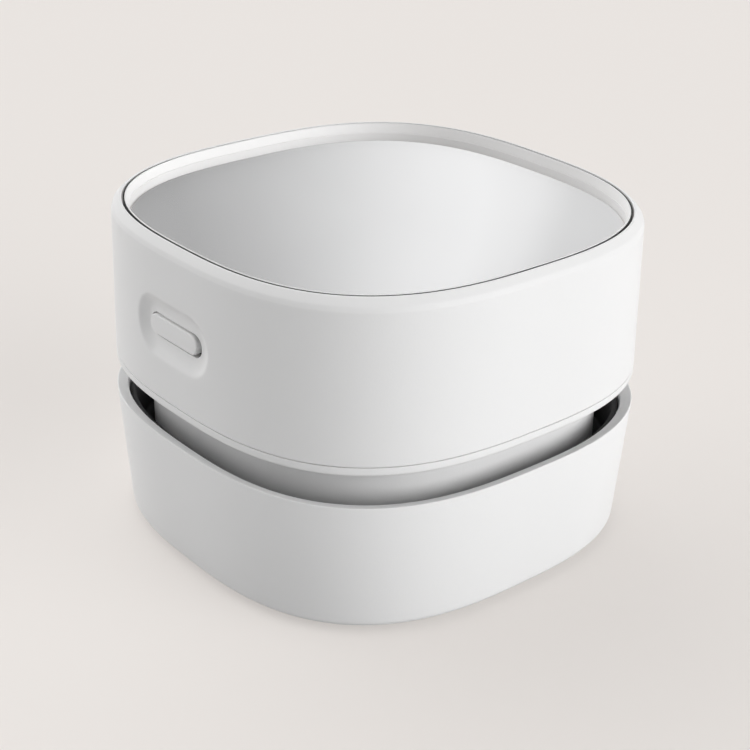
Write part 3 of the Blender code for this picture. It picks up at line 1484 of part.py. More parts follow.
def make_battery():
    """Rechargeable cell in its cradle, with a metal tab at each end."""
    half = CELL_LENGTH / 2
    cell = turned(
        "battery_cell",
        [
            (0, half + CELL_NUB),
            (CELL_NUB_RADIUS, half + CELL_NUB),
            (CELL_NUB_RADIUS, half),
            (CELL_RADIUS, half),
            (CELL_RADIUS, -half),
            (0, -half),
        ],
        ROUND_STEPS,
    )
    cell.rotation_euler.y = math.pi / 2
    cell.location = (0, CELL_Y, CELL_Z)
    finish(cell, cell_wrap)
    ends = ((-half - SEAT - TAB_THICKNESS, -half - SEAT), (half + CELL_NUB + SEAT, half + CELL_NUB + SEAT + TAB_THICKNESS))
    for number, (low, high) in enumerate(ends, 1):
        tab = block(
            f"battery_tab_{number}",
            (low, CELL_Y - TAB_WIDTH / 2, CHASSIS_TOP_Z + SEAT),
            (high, CELL_Y + TAB_WIDTH / 2, CELL_Z + TAB_REACH),
        )
        finish(tab, steel)


def make_charge_board():
    """Charging board and its socket, which faces the port in the +X wall."""
    far = shell_half(BOARD_Z) - SHELL_WALL - CHARGE_BOARD_WALL_GAP
    half = CHARGE_BOARD_WIDTH / 2
    board = block(
        "charge_board", (far - CHARGE_BOARD_LENGTH, -half, BOARD_Z), (far, half, BOARD_Z + BOARD_THICKNESS)
    )
    finish(board, board_green)
    mouth = shell_half(PORT_Z) - SHELL_WALL - SEAT
    back = mouth - PORT_DEPTH
    socket = side_pill("charging_socket", PORT_WIDTH, PORT_HEIGHT, back, mouth, side=1)
    inside = side_pill(
        "socket_inside",
        PORT_WIDTH - PORT_WALL * 2,
        PORT_HEIGHT - PORT_WALL * 2,
        back + PORT_BACK,
        mouth + OVERRUN,
        side=1,
    )
    cut(socket, inside)
    tongue = block(
        "socket_tongue",
        (back + PORT_BACK - BITE, -PORT_TONGUE_WIDTH / 2, PORT_Z - PORT_TONGUE / 2),
        (mouth - PORT_BACK, PORT_TONGUE_WIDTH / 2, PORT_Z + PORT_TONGUE / 2),
    )
    join(socket, tongue)
    return finish(socket, steel)


def smooth_route(places):
    """Points close together on a smooth curve through a route's own places."""
    ends = [places[0], *places, places[-1]]
    route = []
    for before, start, stop, after in zip(ends, ends[1:], ends[2:], ends[3:]):
        steps = max(1, round((stop - start).length / LEAD_STEP))
        for i in range(steps):
            t = i / steps
            curve = (
                (2 * start)
                + (stop - before) * t
                + (2 * before - 5 * start + 4 * stop - after) * t**2
                + (3 * start - before - 3 * stop + after) * t**3
            )
            route.append(curve / 2)
    return [*route, places[-1]]


def make_lead(name, start, stop, peak_z, swing, finish_material):
    """An insulated wire that climbs to its peak on the way and swings aside along X."""
    start, stop = Vector(start), Vector(stop)
    places = [start]
    for way, climb, aside in zip(LEAD_WAY_SHARES, LEAD_CLIMB_SHARES, LEAD_SWING_SHARES):
        place = start.lerp(stop, way)
        place.z = start.z + climb * (peak_z - start.z)
        place.x += swing * aside
        places.append(place)
    places.append(stop)
    curve = bpy.data.curves.new(name, "CURVE")
    curve.dimensions = "3D"
    curve.bevel_depth = LEAD_RADIUS
    curve.bevel_resolution = 1
    curve.use_fill_caps = True
    route = smooth_route(places)
    spline = curve.splines.new("POLY")
    spline.points.add(len(route) - 1)
    for point, place in zip(spline.points, route):
        point.co = (*place, 1)
    return finish(baked(add_object(name, curve)), finish_material)


def make_leads():
    """Wires inside the head. Each ends just clear of the metal that it is soldered to."""
    beside = SEAT + LEAD_RADIUS
    _, _, _, _, face = button_places()
    board_x = beside - (face - SWITCH_SIDE - SEAT - BOARD_THICKNESS)
    pin_y = TERMINAL_OFFSET + TERMINAL_THICKNESS / 2 + beside
    pin_z = MOTOR_TOP_Z + TERMINAL_HEIGHT - LEAD_RADIUS
    arch_z = pin_z + LEAD_ARCH
    charge_x = shell_half(BOARD_Z) - SHELL_WALL - CHARGE_BOARD_WALL_GAP - CHARGE_BOARD_LENGTH + beside * 2
    charge_z = BOARD_Z + BOARD_THICKNESS + beside
    tab_z = CELL_Z + TAB_REACH - LEAD_RADIUS
    far_tab = CELL_LENGTH / 2 + SEAT + TAB_THICKNESS + beside
    make_lead(
        "motor_lead_red",
        (board_x, LEAD_SPREAD, SWITCH_Z + LEAD_ARCH),
        (-TERMINAL_WIDTH / 2, pin_y, pin_z),
        arch_z,
        0,
        red_wire,
    )
    make_lead(
        "motor_lead_black",
        (charge_x, -LEAD_SPREAD, charge_z),
        (TERMINAL_WIDTH / 2, -pin_y, pin_z),
        arch_z,
        0,
        rubber,
    )
    make_lead(
        "battery_lead_red",
        (far_tab + CELL_NUB, CELL_Y, tab_z),
        (charge_x + LEAD_SWING, LEAD_SPREAD, charge_z),
        tab_z + LEAD_ARCH,
        LEAD_SWING,
        red_wire,
    )
    make_lead(
        "battery_lead_black",
        (-far_tab, CELL_Y, tab_z),
        (board_x, LEAD_SPREAD, SWITCH_Z - LEAD_SPREAD),
        tab_z + LEAD_ARCH,
        0,
        rubber,
    )


def make_glide_pad(number, angle):
    """Slippery foot, sunk in the bin's underside."""
    place = polar(GLIDE_RING, angle, 0)
    pad = rod(
        f"glide_pad_{number}", GLIDE_RADIUS, place, place + Vector((0, 0, BIN_EDGE_Z + GLIDE_SINK)), SMALL_STEPS
    )
    return finish(pad, dark_plastic)


make_dust_bin()
make_bin_collar()
make_bin_floor()
make_inlet_tube()
make_exhaust_liner()
make_brush_plate()
for count, turn in enumerate(around(STRIP_COUNT), 1):
    make_bristle_strip(count, turn)
for count, turn in enumerate(DIAGONALS, 1):
    make_glide_pad(count, turn)
    spot = polar(BRUSH_SCREW_RING, turn, 0)
    screw(f"brush_plate_screw_{count}", spot.x, spot.y, PLATE_EDGE_Z, SCREW_LENGTH)
    spot = polar(SHELL_SCREW_RING, turn, 0)
    screw(f"shell_screw_{count}", spot.x, spot.y, LIP_Z, SHELL_SCREW_LENGTH)
for count, side in enumerate((-1, 1), 1):
    screw(f"motor_screw_{count}", side * MOTOR_SCREW_RING, 0, DECK_Z, MOTOR_SCREW_LENGTH)
make_lower_cover()
make_motor_pod()
make_motor_deck()
make_intake_plate()
make_seal_ring()
make_filter_frame()
make_filter_pad()
make_upper_shell()
make_top_bezel()
make_top_plate()
make_power_button()
make_switch()
make_motor()
make_fan()
make_chassis()
make_battery()
make_charge_board()
make_leads()
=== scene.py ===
"""Desktop mini vacuum cleaner: the visible surfaces, their finishes, the studio and the camera."""

import json
import math

import bmesh
import bpy
from mathutils import Matrix, Vector


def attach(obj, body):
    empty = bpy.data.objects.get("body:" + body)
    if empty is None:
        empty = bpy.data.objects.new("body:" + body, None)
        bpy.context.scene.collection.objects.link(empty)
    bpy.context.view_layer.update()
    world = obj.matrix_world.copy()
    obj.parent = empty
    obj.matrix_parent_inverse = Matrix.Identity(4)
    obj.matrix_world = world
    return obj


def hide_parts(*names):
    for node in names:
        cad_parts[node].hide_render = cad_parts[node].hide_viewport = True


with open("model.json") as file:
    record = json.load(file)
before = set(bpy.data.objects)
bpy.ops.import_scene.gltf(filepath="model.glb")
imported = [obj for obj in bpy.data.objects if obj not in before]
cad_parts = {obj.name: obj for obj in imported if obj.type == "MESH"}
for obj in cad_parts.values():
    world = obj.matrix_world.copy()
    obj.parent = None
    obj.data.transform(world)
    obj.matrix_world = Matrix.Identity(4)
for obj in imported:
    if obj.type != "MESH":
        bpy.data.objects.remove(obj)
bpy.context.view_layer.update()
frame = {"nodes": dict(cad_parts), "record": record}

MM = 0.001

# Plan of the body and the levels of its shells, in millimetres
POWER = 2.76
RIM_HALF, RIM_Z = 42.6, 24.8
FOOT_HALF, FOOT_Z = 40.9, 1.0
COLLAR_BORE = 33.4
LIP_Z, PARTING_Z = 30.3, 32.0
SHELL_FOOT_HALF, SHELL_TOP_HALF = 42.4, 42.0
BEVEL_Z, TOP_Z = 57.95, 59.85
PLATE_Z = 56.5
WELL_HALF = 39.3
SEAM_HALF, SEAM_GAP = 40.3, 0.5
POD_HALF, POD_FOOT_HALF, POD_FOOT_Z = 37.0, 36.3, 16.0
SWITCH_Z = 44.975
PORT_Z = 40.75
DISH_LENGTH, DISH_HEIGHT, DISH_DEPTH = 21.0, 11.0, 1.2
DISH_SHIFT, DISH_DROP = 1.1, 0.35
BUTTON_LENGTH, BUTTON_HEIGHT, BUTTON_PLAY = 13.8, 3.6, 0.28
BUTTON_PROUD = 0.4
BUTTON_SHIFT, BUTTON_Z = 1.7, SWITCH_Z - 0.6
SLOT_LENGTH = 15.1
MOUTH_RADIUS, MOUTH_Z = 21.4, 3.4
STRIP_RING, STRIP_ARC = 17.4, math.radians(62)
GLIDE_RING = 38.483
GLIDE_RADIUS = 2.3
BRUSH_SCREW_RING = 27.85
SHELL_SCREW_RING = 43.31
SCREW_HEAD_RADIUS = 1.8
WINDOW_COUNT, WINDOW_WIDTH, WINDOW_Z, WINDOW_HEIGHT = 24, 3.4, 16.9, 1.5


# Camera

FOCUS = Vector((0, 0, FOOT_Z)) * MM
CAMERA_AZIMUTH, CAMERA_ELEVATION = math.radians(230.272), math.radians(29.989)
CAMERA_DISTANCE = 0.30264
AIM_HEADING, AIM_PITCH, CAMERA_ROLL = math.radians(50.207), math.radians(-25.81), math.radians(1.042)
LENS_LENGTH, SENSOR_WIDTH = 76.47, 36


def direction(azimuth, elevation):
    """The unit vector towards an azimuth and an elevation, in radians."""
    level = math.cos(elevation)
    return Vector((level * math.cos(azimuth), level * math.sin(azimuth), math.sin(elevation)))


def set_camera():
    """The camera, at the photograph's place and angle."""
    lens = bpy.data.cameras.new("camera")
    lens.sensor_width = SENSOR_WIDTH
    lens.lens = LENS_LENGTH
    lens.clip_start = 0.01
    camera = bpy.data.objects.new("camera", lens)
    place = FOCUS + CAMERA_DISTANCE * direction(CAMERA_AZIMUTH, CAMERA_ELEVATION)
    aim = direction(AIM_HEADING, AIM_PITCH).to_track_quat("-Z", "Y").to_matrix().to_4x4()
    camera.matrix_world = Matrix.Translation(place) @ aim @ Matrix.Rotation(CAMERA_ROLL, 4, "Z")
    bpy.context.scene.collection.objects.link(camera)
    bpy.context.scene.camera = camera


set_camera()


# Finishes


class Value:
    """One output in a node tree. Sums on it add Math nodes."""

    def __init__(self, finish, socket):
        self.finish = finish
        self.socket = socket

    def math(self, operation, *terms):
        return self.finish.node("ShaderNodeMath", {"operation": operation}, dict(enumerate(terms)))

    def __add__(self, other):
        return self.math("ADD", self, other)

    def __radd__(self, other):
        return self.math("ADD", other, self)

    def __sub__(self, other):
        return self.math("SUBTRACT", self, other)

    def __rsub__(self, other):
        return self.math("SUBTRACT", other, self)

    def __mul__(self, other):
        return self.math("MULTIPLY", self, other)

    def __rmul__(self, other):
        return self.math("MULTIPLY", other, self)

    def __truediv__(self, other):
        return self.math("DIVIDE", self, other)

    def __pow__(self, other):
        return self.math("POWER", self, other)

    def above(self, limit):
        return self.math("MAXIMUM", self, limit)

    def below(self, limit):
        return self.math("MINIMUM", self, limit)


class Finish:
    """A node tree with the few calls that a finish needs."""

    def __init__(self, tree):
        self.tree = tree

    def node(self, kind, settings=None, sockets=None, output=0):
        made = self.tree.nodes.new(kind)
        for key, value in (settings or {}).items():
            if key == "stops":
                ramp = made.color_ramp
                while len(ramp.elements) < len(value):
                    ramp.elements.new(1)
                for element, (place, shade) in zip(ramp.elements, value):
                    element.position = place
                    element.color = (shade, shade, shade, 1)
            else:
                setattr(made, key, value)
        for key, value in (sockets or {}).items():
            self.feed(made.inputs[key], value)
        return Value(self, made.outputs[output]) if made.outputs else None

    def feed(self, socket, value):
        if isinstance(value, Value):
            self.tree.links.new(value.socket, socket)
        else:
            socket.default_value = value

    def place(self, stretch=(1, 1, 1)):
        """The point on the piece, in metres, stretched along each axis."""
        point = self.node("ShaderNodeTexCoord", output=3)
        if stretch == (1, 1, 1):
            return point
        return self.node("ShaderNodeVectorMath", {"operation": "MULTIPLY"}, {0: point, 1: stretch})

    def grain(self, size, detail=2.0, stretch=(1, 1, 1)):
        """Soft noise between 0 and 1, with features of about that size in millimetres."""
        sockets = {"Vector": self.place(stretch), "Scale": 1 / (size * MM), "Detail": detail}
        return self.node("ShaderNodeTexNoise", {}, sockets)

    def mix(self, share, first, second):
        """A colour between two colours."""
        return self.node("ShaderNodeMix", {"data_type": "RGBA"}, {0: share, 6: first, 7: second}, 2)

    def relief(self, height, depth):
        """A normal from a height between 0 and 1, for a depth in millimetres."""
        sockets = {"Strength": 1.0, "Distance": depth * MM, "Height": height}
        return self.node("ShaderNodeBump", {}, sockets)


def shade(colour, factor):
    """A colour made lighter or darker, as a shader takes it."""
    return (*(min(channel * factor, 1.0) for channel in colour), 1.0)


def moulded(
    name, colour, roughness, speckle=0.012, texture=0.35, relief=0.012, metallic=0.0, specular=0.5
):
    """Moulded plastic: a faint flow of tone, a fine moulded texture and uneven gloss."""
    made = bpy.data.materials.new(name)
    made.use_nodes = True
    finish = Finish(made.node_tree)
    shader = made.node_tree.nodes["Principled BSDF"].inputs
    flow = finish.grain(26, 3.0)
    fine = finish.grain(texture, 2.0)
    tone = finish.mix(flow, shade(colour, 1 - speckle), shade(colour, 1 + speckle))
    finish.feed(shader["Base Color"], tone)
    finish.feed(shader["Roughness"], roughness + (finish.grain(7, 2.0) - 0.5) * 0.08)
    finish.feed(shader["Normal"], finish.relief(fine, relief))
    finish.feed(shader["Metallic"], metallic)
    finish.feed(shader["Specular IOR Level"], specular)
    return made


def shade_painted_below(name, upper, lower, level, step, roughness):
    """White moulding with painted shade: a shade greyer below a level, with a soft step between, in
    millimetres.
    """
    made = moulded(name, upper, roughness)
    finish = Finish(made.node_tree)
    shader = made.node_tree.nodes["Principled BSDF"].inputs
    height = finish.node("ShaderNodeSeparateXYZ", {}, {0: finish.place()}, 2)
    share = ((height * (1 / MM) - level) / step).above(0.0).below(1.0)
    tone = Value(finish, shader["Base Color"].links[0].from_socket)
    finish.feed(shader["Base Color"], finish.mix(share, shade(lower, 1.0), tone))
    return made


def metal(name, colour, roughness, stretch=(1, 1, 1), size=1.2):
    """Metal with drawn or brushed marks along one way."""
    made = bpy.data.materials.new(name)
    made.use_nodes = True
    finish = Finish(made.node_tree)
    shader = made.node_tree.nodes["Principled BSDF"].inputs
    marks = finish.grain(size, 4.0, stretch)
    finish.feed(shader["Base Color"], finish.mix(marks, shade(colour, 0.86), shade(colour, 1.08)))
    finish.feed(shader["Roughness"], roughness * 0.8 + marks * roughness * 0.4)
    finish.feed(shader["Normal"], finish.relief(marks, 0.01))
    finish.feed(shader["Metallic"], 1.0)
    return made


white = moulded("satin_white_moulding", (0.86, 0.86, 0.86), 0.42)
button_white = moulded("satin_white_button", (0.87, 0.87, 0.87), 0.36, texture=0.25, relief=0.006)
pearl = moulded(
    "gloss_pearl_plate", (0.84, 0.84, 0.845), 0.07, speckle=0.004, texture=3.0, relief=0.002, metallic=0.75
)
# The ring's wall is painted a shade greyer below 57.7 mm: painted shade low on the wall, not a second
# plastic.
ring_white_shaded_below = shade_painted_below("satin_white_ring_painted_shade", (0.84, 0.84, 0.84), (0.76, 0.76, 0.76), 57.7, 0.5, 0.42)
pod_grey = moulded("light_grey_waist", (0.79, 0.79, 0.79), 0.45)
matt_black = moulded("matt_black_plastic", (0.02, 0.02, 0.021), 0.55, speckle=0.2, texture=0.5, relief=0.02)
dull = {"speckle": 0.15, "texture": 0.5, "relief": 0.02, "specular": 0.15}
liner_black = moulded("matt_black_liner", (0.05, 0.05, 0.051), 0.85, **dull)
# Black for the strips in the head's seam and behind the button's play: painted shadow, a dark thing put where
# the gaps would only be in shade.
gap_shadow_black = moulded("matt_black_gap_shadow", (0.03, 0.03, 0.031), 0.85, **dull)
dark_moulding = moulded(
    "dark_grey_moulding", (0.10, 0.10, 0.11), 0.50, speckle=0.1, texture=0.4, relief=0.015
)
soft_rubber = moulded("soft_black_rubber", (0.09, 0.09, 0.095), 0.72, speckle=0.15, texture=0.6, relief=0.02)
red_sleeve = moulded("red_wire_sleeve", (0.55, 0.03, 0.03), 0.45, speckle=0.08, texture=0.8, relief=0.01)
cell_sleeve = moulded("blue_cell_sleeve", (0.05, 0.16, 0.42), 0.30, speckle=0.06, texture=2.0, relief=0.01)
board_mask = moulded("green_board_mask", (0.03, 0.20, 0.08), 0.40, speckle=0.15, texture=1.4, relief=0.01)
fleece = moulded("pleated_fleece", (0.86, 0.86, 0.83), 0.92, speckle=0.05, texture=0.25, relief=0.06)
ferrite = moulded("sintered_ferrite", (0.09, 0.09, 0.10), 0.62, speckle=0.25, texture=0.2, relief=0.02)
nylon = moulded("nylon_bristles", (0.80, 0.80, 0.78), 0.42, speckle=0.06, texture=0.5, relief=0.004)
plated = metal("plated_steel", (0.62, 0.62, 0.63), 0.30, (1, 1, 0.2))
drawn_brass = metal("plain_brass", (0.78, 0.62, 0.32), 0.30, (1, 1, 0.3))
wound_copper = metal("enamelled_copper", (0.72, 0.40, 0.22), 0.35, (0.3, 0.3, 3), 0.5)

CAD_FINISHES = {
    "satin_white_plastic": white,
    "gloss_pearl_plate": pearl,
    "grey_pod_plastic": pod_grey,
    "black_plastic": matt_black,
    "dark_plastic": dark_moulding,
    "steel": plated,
    "copper": wound_copper,
    "brass": drawn_brass,
    "magnet_ferrite": ferrite,
    "board_green": board_mask,
    "nylon_bristle": nylon,
    "filter_fleece": fleece,
    "rubber": soft_rubber,
    "cell_wrap": cell_sleeve,
    "red_wire": red_sleeve,
}
SLOT_OF = {part["node"]: part["material_slot"] for part in frame["record"]["subparts"]}
for node_name, node in frame["nodes"].items():
    node.data.materials.clear()
    node.data.materials.append(CAD_FINISHES[SLOT_OF[node_name]])


# Shapes


def squircle_reach(angle):
    """How far the squircle's edge lies from its middle, for a half width of one."""
    spread = abs(math.cos(angle)) ** POWER + abs(math.sin(angle)) ** POWER
    return spread ** (-1 / POWER)


def even_angles(steps):
    """Angles all round, evenly spaced."""
    return [math.tau * i / steps for i in range(steps)]


def rounded(corners, turns=5):
    """A closed outline in (half width, height) from corners of (half width, height, rounding)."""
    outline = []
    for i, (x, z, radius) in enumerate(corners):
        corner = Vector((x, z))
        before = Vector(corners[i - 1][:2]) - corner
        after = Vector(corners[(i + 1) % len(corners)][:2]) - corner
        if radius <= 0:
            outline.append(corner)
            continue
        way_in, way_out = before.normalized(), after.normalized()
        half_angle = way_in.angle(way_out) / 2
        reach = min(radius / math.tan(half_angle), 0.49 * min(before.length, after.length))
        radius = reach * math.tan(half_angle)
        middle = corner + (way_in + way_out).normalized() * (radius / math.sin(half_angle))
        first, last = corner + way_in * reach - middle, corner + way_out * reach - middle
        for step in range(turns + 1):
            outline.append(middle + first.slerp(last, step / turns) * radius)
    return outline


def loft(outline, angles, round_within=0.0):
    """A closed surface that carries an outline round the axis, stretched to the squircle outside a radius."""
    shape = bmesh.new()
    rows = []
    for angle in angles:
        reach = squircle_reach(angle)
        row = []
        for half, z in outline:
            radius = half * (reach if half > round_within else 1)
            row.append(
                shape.verts.new((radius * math.cos(angle) * MM, radius * math.sin(angle) * MM, z * MM))
            )
        rows.append(row)
    for row, after in zip(rows, rows[1:] + rows[:1]):
        for j in range(len(outline)):
            k = (j + 1) % len(outline)
            if outline[j][0] == 0 and outline[k][0] == 0:
                continue
            shape.faces.new((row[j], row[k], after[k], after[j]))
    bmesh.ops.remove_doubles(shape, verts=shape.verts, dist=1e-8)
    bmesh.ops.dissolve_degenerate(shape, edges=shape.edges, dist=1e-8)
    bmesh.ops.recalc_face_normals(shape, faces=shape.faces)
    return shape


def add_object(name, shape):
    """A new object from a mesh in the making."""
    mesh = bpy.data.meshes.new(name)
    shape.to_mesh(mesh)
    shape.free()
    made = bpy.data.objects.new(name, mesh)
    bpy.context.scene.collection.objects.link(made)
    return made


def piece(made, finish, body, slot, *nodes, crease=38):
    """Finishes an object as a piece of the vacuum, on its body and in the place of CAD nodes."""
    made.data.materials.clear()
    made.data.materials.append(finish)
    made.data.shade_smooth()
    made.data.set_sharp_from_angle(angle=math.radians(crease))
    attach(made, body)
    if nodes:
        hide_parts(*nodes)
    return made


def cut(made, *tools):
    """Cuts each tool from an object and leaves it a plain mesh."""
    for tool in tools:
        step = made.modifiers.new("cut", "BOOLEAN")
        step.operation = "DIFFERENCE"
        step.object = tool
    bpy.context.view_layer.update()
    graph = bpy.context.evaluated_depsgraph_get()
    mesh = bpy.data.meshes.new_from_object(made.evaluated_get(graph))
    made.modifiers.clear()
    made.data = mesh
    for tool in tools:
        bpy.data.objects.remove(tool)
    return made


def pill(length, height, steps=24):
    """Points round a slot shape, long in the first axis, with half-round ends."""
    radius = height / 2
    middle = length / 2 - radius
    ends = [math.pi * (i / steps - 0.5) for i in range(steps + 1)]
    right = [(middle + radius * math.cos(turn), radius * math.sin(turn)) for turn in ends]
    return right + [(-x, -y) for x, y in right]


def side_loft(name, rows, level, side, shift=0.0):
    """A solid along X on one side of the axis, from rows of (length, height, distance from the axis)."""
    shape = bmesh.new()
    rings = []
    for length, height, distance in rows:
        rings.append(
            [
                shape.verts.new((side * distance * MM, (y + shift) * MM, (level + z) * MM))
                for y, z in pill(length, height)
            ]
        )
    for ring, after in zip(rings, rings[1:]):
        for j in range(len(ring)):
            k = (j + 1) % len(ring)
            shape.faces.new((ring[j], ring[k], after[k], after[j]))
    shape.faces.new(rings[0])
    shape.faces.new(rings[-1])
    bmesh.ops.recalc_face_normals(shape, faces=shape.faces)
    return add_object(name, shape)


ROUND_THE_BODY = even_angles(256)


# Dust bin


def bin_half(z):
    """Half width of the bin's outside at a height."""
    return FOOT_HALF + (z - FOOT_Z) / (RIM_Z - FOOT_Z) * (RIM_HALF - FOOT_HALF)


def polar(radius, angle, z):
    """A point at an angle round the axis, in metres."""
    return Vector((radius * math.cos(angle), radius * math.sin(angle), z)) * MM


def disc_tool(name, radius, low, high, place, steps=48):
    """A round cutter between two heights."""
    shape = bmesh.new()
    middle = Matrix.Translation((place.x, place.y, (low + high) / 2 * MM))
    bmesh.ops.create_cone(
        shape, cap_ends=True, segments=steps, radius1=radius * MM, radius2=radius * MM,
        depth=(high - low) * MM, matrix=middle,
    )
    return add_object(name, shape)


DIAGONALS = [math.pi / 4 + math.pi / 2 * i for i in range(4)]


def make_bin():
    """Lower white shell, with its rounded foot and its sloping rim."""
    wall = 1.8
    outline = rounded(
        [
            (RIM_HALF - wall, RIM_Z - 0.5, 0.12),
            (RIM_HALF, RIM_Z, 0.15),
            (FOOT_HALF, FOOT_Z, 1.35),
            (COLLAR_BORE, FOOT_Z, 0.3),
            (COLLAR_BORE, FOOT_Z + 1.8, 0.2),
            (bin_half(FOOT_Z + 1.8) - wall, FOOT_Z + 1.8, 0.6),
        ]
    )
    shell = add_object("bin_shell", loft(outline, ROUND_THE_BODY, COLLAR_BORE + 0.5))
    seats = [
        disc_tool(f"glide_seat_{i}", GLIDE_RADIUS + 0.12, -1.0, 2.0, polar(GLIDE_RING, angle, 0))
        for i, angle in enumerate(DIAGONALS)
    ]
    cut(shell, *seats)
    return piece(shell, white, "bin", "satin_white_plastic", "dust_bin")


def make_liner():
    """Black ring inside the bin's rim."""
    rim = bin_half(23.3) - 1.8 - 0.3
    foot = bin_half(13.9) - 1.8 - 0.3
    outline = rounded(
        [
            (rim - 0.8, 23.3, 0.2),
            (rim, 23.3, 0.2),
            (foot, 13.9, 0.3),
            (35.7, 13.9, 0.2),
            (35.7, 14.9, 0.2),
            (foot - 0.8, 14.9, 0.6),
        ]
    )
    liner = add_object("groove_liner", loft(outline, ROUND_THE_BODY, 35.8))
    return piece(liner, liner_black, "bin", "black_plastic", "exhaust_liner")


make_bin()
make_liner()


# Underside


def make_brush_plate():
    """Round plate under the bin: a flat flange, a raised mouth and ribs round the inlet."""
    outline = rounded(
        [
            (33.1, 2.6, 0.2),
            (33.1, 1.2, 0.35),
            (MOUTH_RADIUS + 0.2, 1.2, 0.5),
            (MOUTH_RADIUS - 0.5, MOUTH_Z, 0.5),
            (7.5, MOUTH_Z, 0.5),
            (7.0, 4.7, 0.15),
            (22.6, 4.7, 0.2),
            (22.6, 2.6, 0.2),
        ]
    )
    plate = add_object("mouth_plate", loft(outline, even_angles(144), 40))
    tools = [
        disc_tool(f"screw_seat_{i}", SCREW_HEAD_RADIUS + 0.3, -1.0, 2.2, polar(BRUSH_SCREW_RING, angle, 0))
        for i, angle in enumerate(DIAGONALS)
    ]
    tools += [
        disc_tool(f"screw_hole_{i}", 1.07, -1.0, 6.0, polar(BRUSH_SCREW_RING, angle, 0))
        for i, angle in enumerate(DIAGONALS)
    ]
    for number in range(4):
        angle = math.pi / 2 * number
        half = STRIP_ARC / 2 + 0.3 / STRIP_RING
        inner, outer = STRIP_RING - 1.6, STRIP_RING + 1.6
        tools.append(arc_block(f"channel_{number}", inner, outer, angle - half, angle + half, 2.0, 4.0))
    cut(plate, *tools)
    return piece(plate, white, "bin", "satin_white_plastic", "brush_plate")


def arc_block(name, inner, outer, start, stop, low, high, steps=32):
    """A block bent round the axis between two angles."""
    shape = bmesh.new()
    rows = []
    for i in range(steps + 1):
        angle = start + (stop - start) * i / steps
        corners = ((inner, low), (outer, low), (outer, high), (inner, high))
        rows.append([shape.verts.new(polar(radius, angle, z)) for radius, z in corners])
    for row, after in zip(rows, rows[1:]):
        for j in range(4):
            k = (j + 1) % 4
            shape.faces.new((row[j], row[k], after[k], after[j]))
    shape.faces.new(rows[0])
    shape.faces.new(rows[-1])
    bmesh.ops.recalc_face_normals(shape, faces=shape.faces)
    return add_object(name, shape)


def spread(number):
    """An even, repeatable spread of numbers between 0 and 1."""
    return number * 0.6180339887 % 1


def make_bristle_strip(number):
    """A curved backing with four rows of nylon strands that lean a little each way."""
    middle = math.pi / 2 * (number - 1)
    backing = arc_block(
        f"bristles_{number}", STRIP_RING - 1.3, STRIP_RING + 1.3,
        middle - STRIP_ARC / 2, middle + STRIP_ARC / 2, 2.9, 3.7,
    )
    shape = bmesh.new()
    shape.from_mesh(backing.data)
    columns, rows = 30, 4
    half = STRIP_ARC / 2 - 0.05
    for column in range(columns):
        for row in range(rows):
            seed = column * rows + row
            angle = middle - half + 2 * half * (column + 0.5 * (row % 2) + 0.25) / columns
            radius = STRIP_RING - 0.66 + 1.32 * row / (rows - 1)
            root = polar(radius, angle, 2.95)
            lean = Vector((spread(seed) - 0.5, spread(seed * 3 + 1) - 0.5, 0)) * 0.45 * MM
            tip = polar(radius, angle, 0.34 + 0.2 * spread(seed * 7 + 2)) + lean
            way = tip - root
            place = Matrix.Translation((root + tip) / 2) @ way.to_track_quat("Z", "Y").to_matrix().to_4x4()
            bmesh.ops.create_cone(
                shape, cap_ends=True, segments=5, radius1=0.16 * MM, radius2=0.10 * MM,
                depth=way.length, matrix=place,
            )
    shape.to_mesh(backing.data)
    shape.free()
    return piece(backing, nylon, "bin", "nylon_bristle", f"bristle_strip_{number}")


def turned_piece(name, outline, place, steps=48):
    """A small round piece set down at a place."""
    shape = loft(outline, even_angles(steps), 1000)
    bmesh.ops.translate(shape, verts=shape.verts, vec=place)
    return add_object(name, shape)


def make_glide_pad(number, angle):
    """Slippery foot with a softened edge."""
    outline = rounded([(0, 1.7, 0), (GLIDE_RADIUS, 1.7, 0.15), (GLIDE_RADIUS, 0, 0.4), (0, 0, 0)])
    pad = turned_piece(f"glide_{number}", outline, polar(GLIDE_RING, angle, 0))
    return piece(pad, soft_rubber, "bin", "dark_plastic", f"glide_pad_{number}")


def cross_tool(name, place, low, high, reach, width):
    """The cross of a driver's recess."""
    shape = bmesh.new()
    middle = Matrix.Translation((place.x, place.y, (low + high) / 2 * MM))
    for length_x, length_y in ((reach, width), (width, reach)):
        size = Matrix.Diagonal((length_x * 2 * MM, length_y * 2 * MM, (high - low) * MM, 1))
        bmesh.ops.create_cube(shape, size=1, matrix=middle @ size)
    return add_object(name, shape)


def make_brush_screw(number, angle):
    """Pan-head screw with a crossed recess, seen in its seat in the brush plate."""
    place = polar(BRUSH_SCREW_RING, angle, 0)
    outline = rounded(
        [
            (0, 6.9, 0),
            (0.95, 6.9, 0.3),
            (0.95, 1.9, 0.1),
            (SCREW_HEAD_RADIUS, 1.9, 0.15),
            (SCREW_HEAD_RADIUS, 1.2, 0.45),
            (0, 1.2, 0),
        ]
    )
    screw = turned_piece(f"plate_screw_{number}", outline, place, 40)
    cross = cross_tool("recess", place, 0.0, 1.6, 0.95, 0.22)
    merged = cross.modifiers.new("merge", "REMESH")
    merged.mode = "VOXEL"
    merged.voxel_size = 0.06 * MM
    cut(screw, cross)
    return piece(screw, plated, "bin", "steel", f"brush_plate_screw_{number}")


make_brush_plate()
for number in range(1, 5):
    make_bristle_strip(number)
for number, angle in enumerate(DIAGONALS, 1):
    make_glide_pad(number, angle)
    make_brush_screw(number, angle)


# Waist and lip


def waist_half(z):
    """Half width of the grey wall at a height: upright below, and swept out under the lip."""
    return POD_HALF - 0.3 + 0.85 * (max(z - RIM_Z - 0.7, 0) / (LIP_Z - RIM_Z - 0.7)) ** 2.5


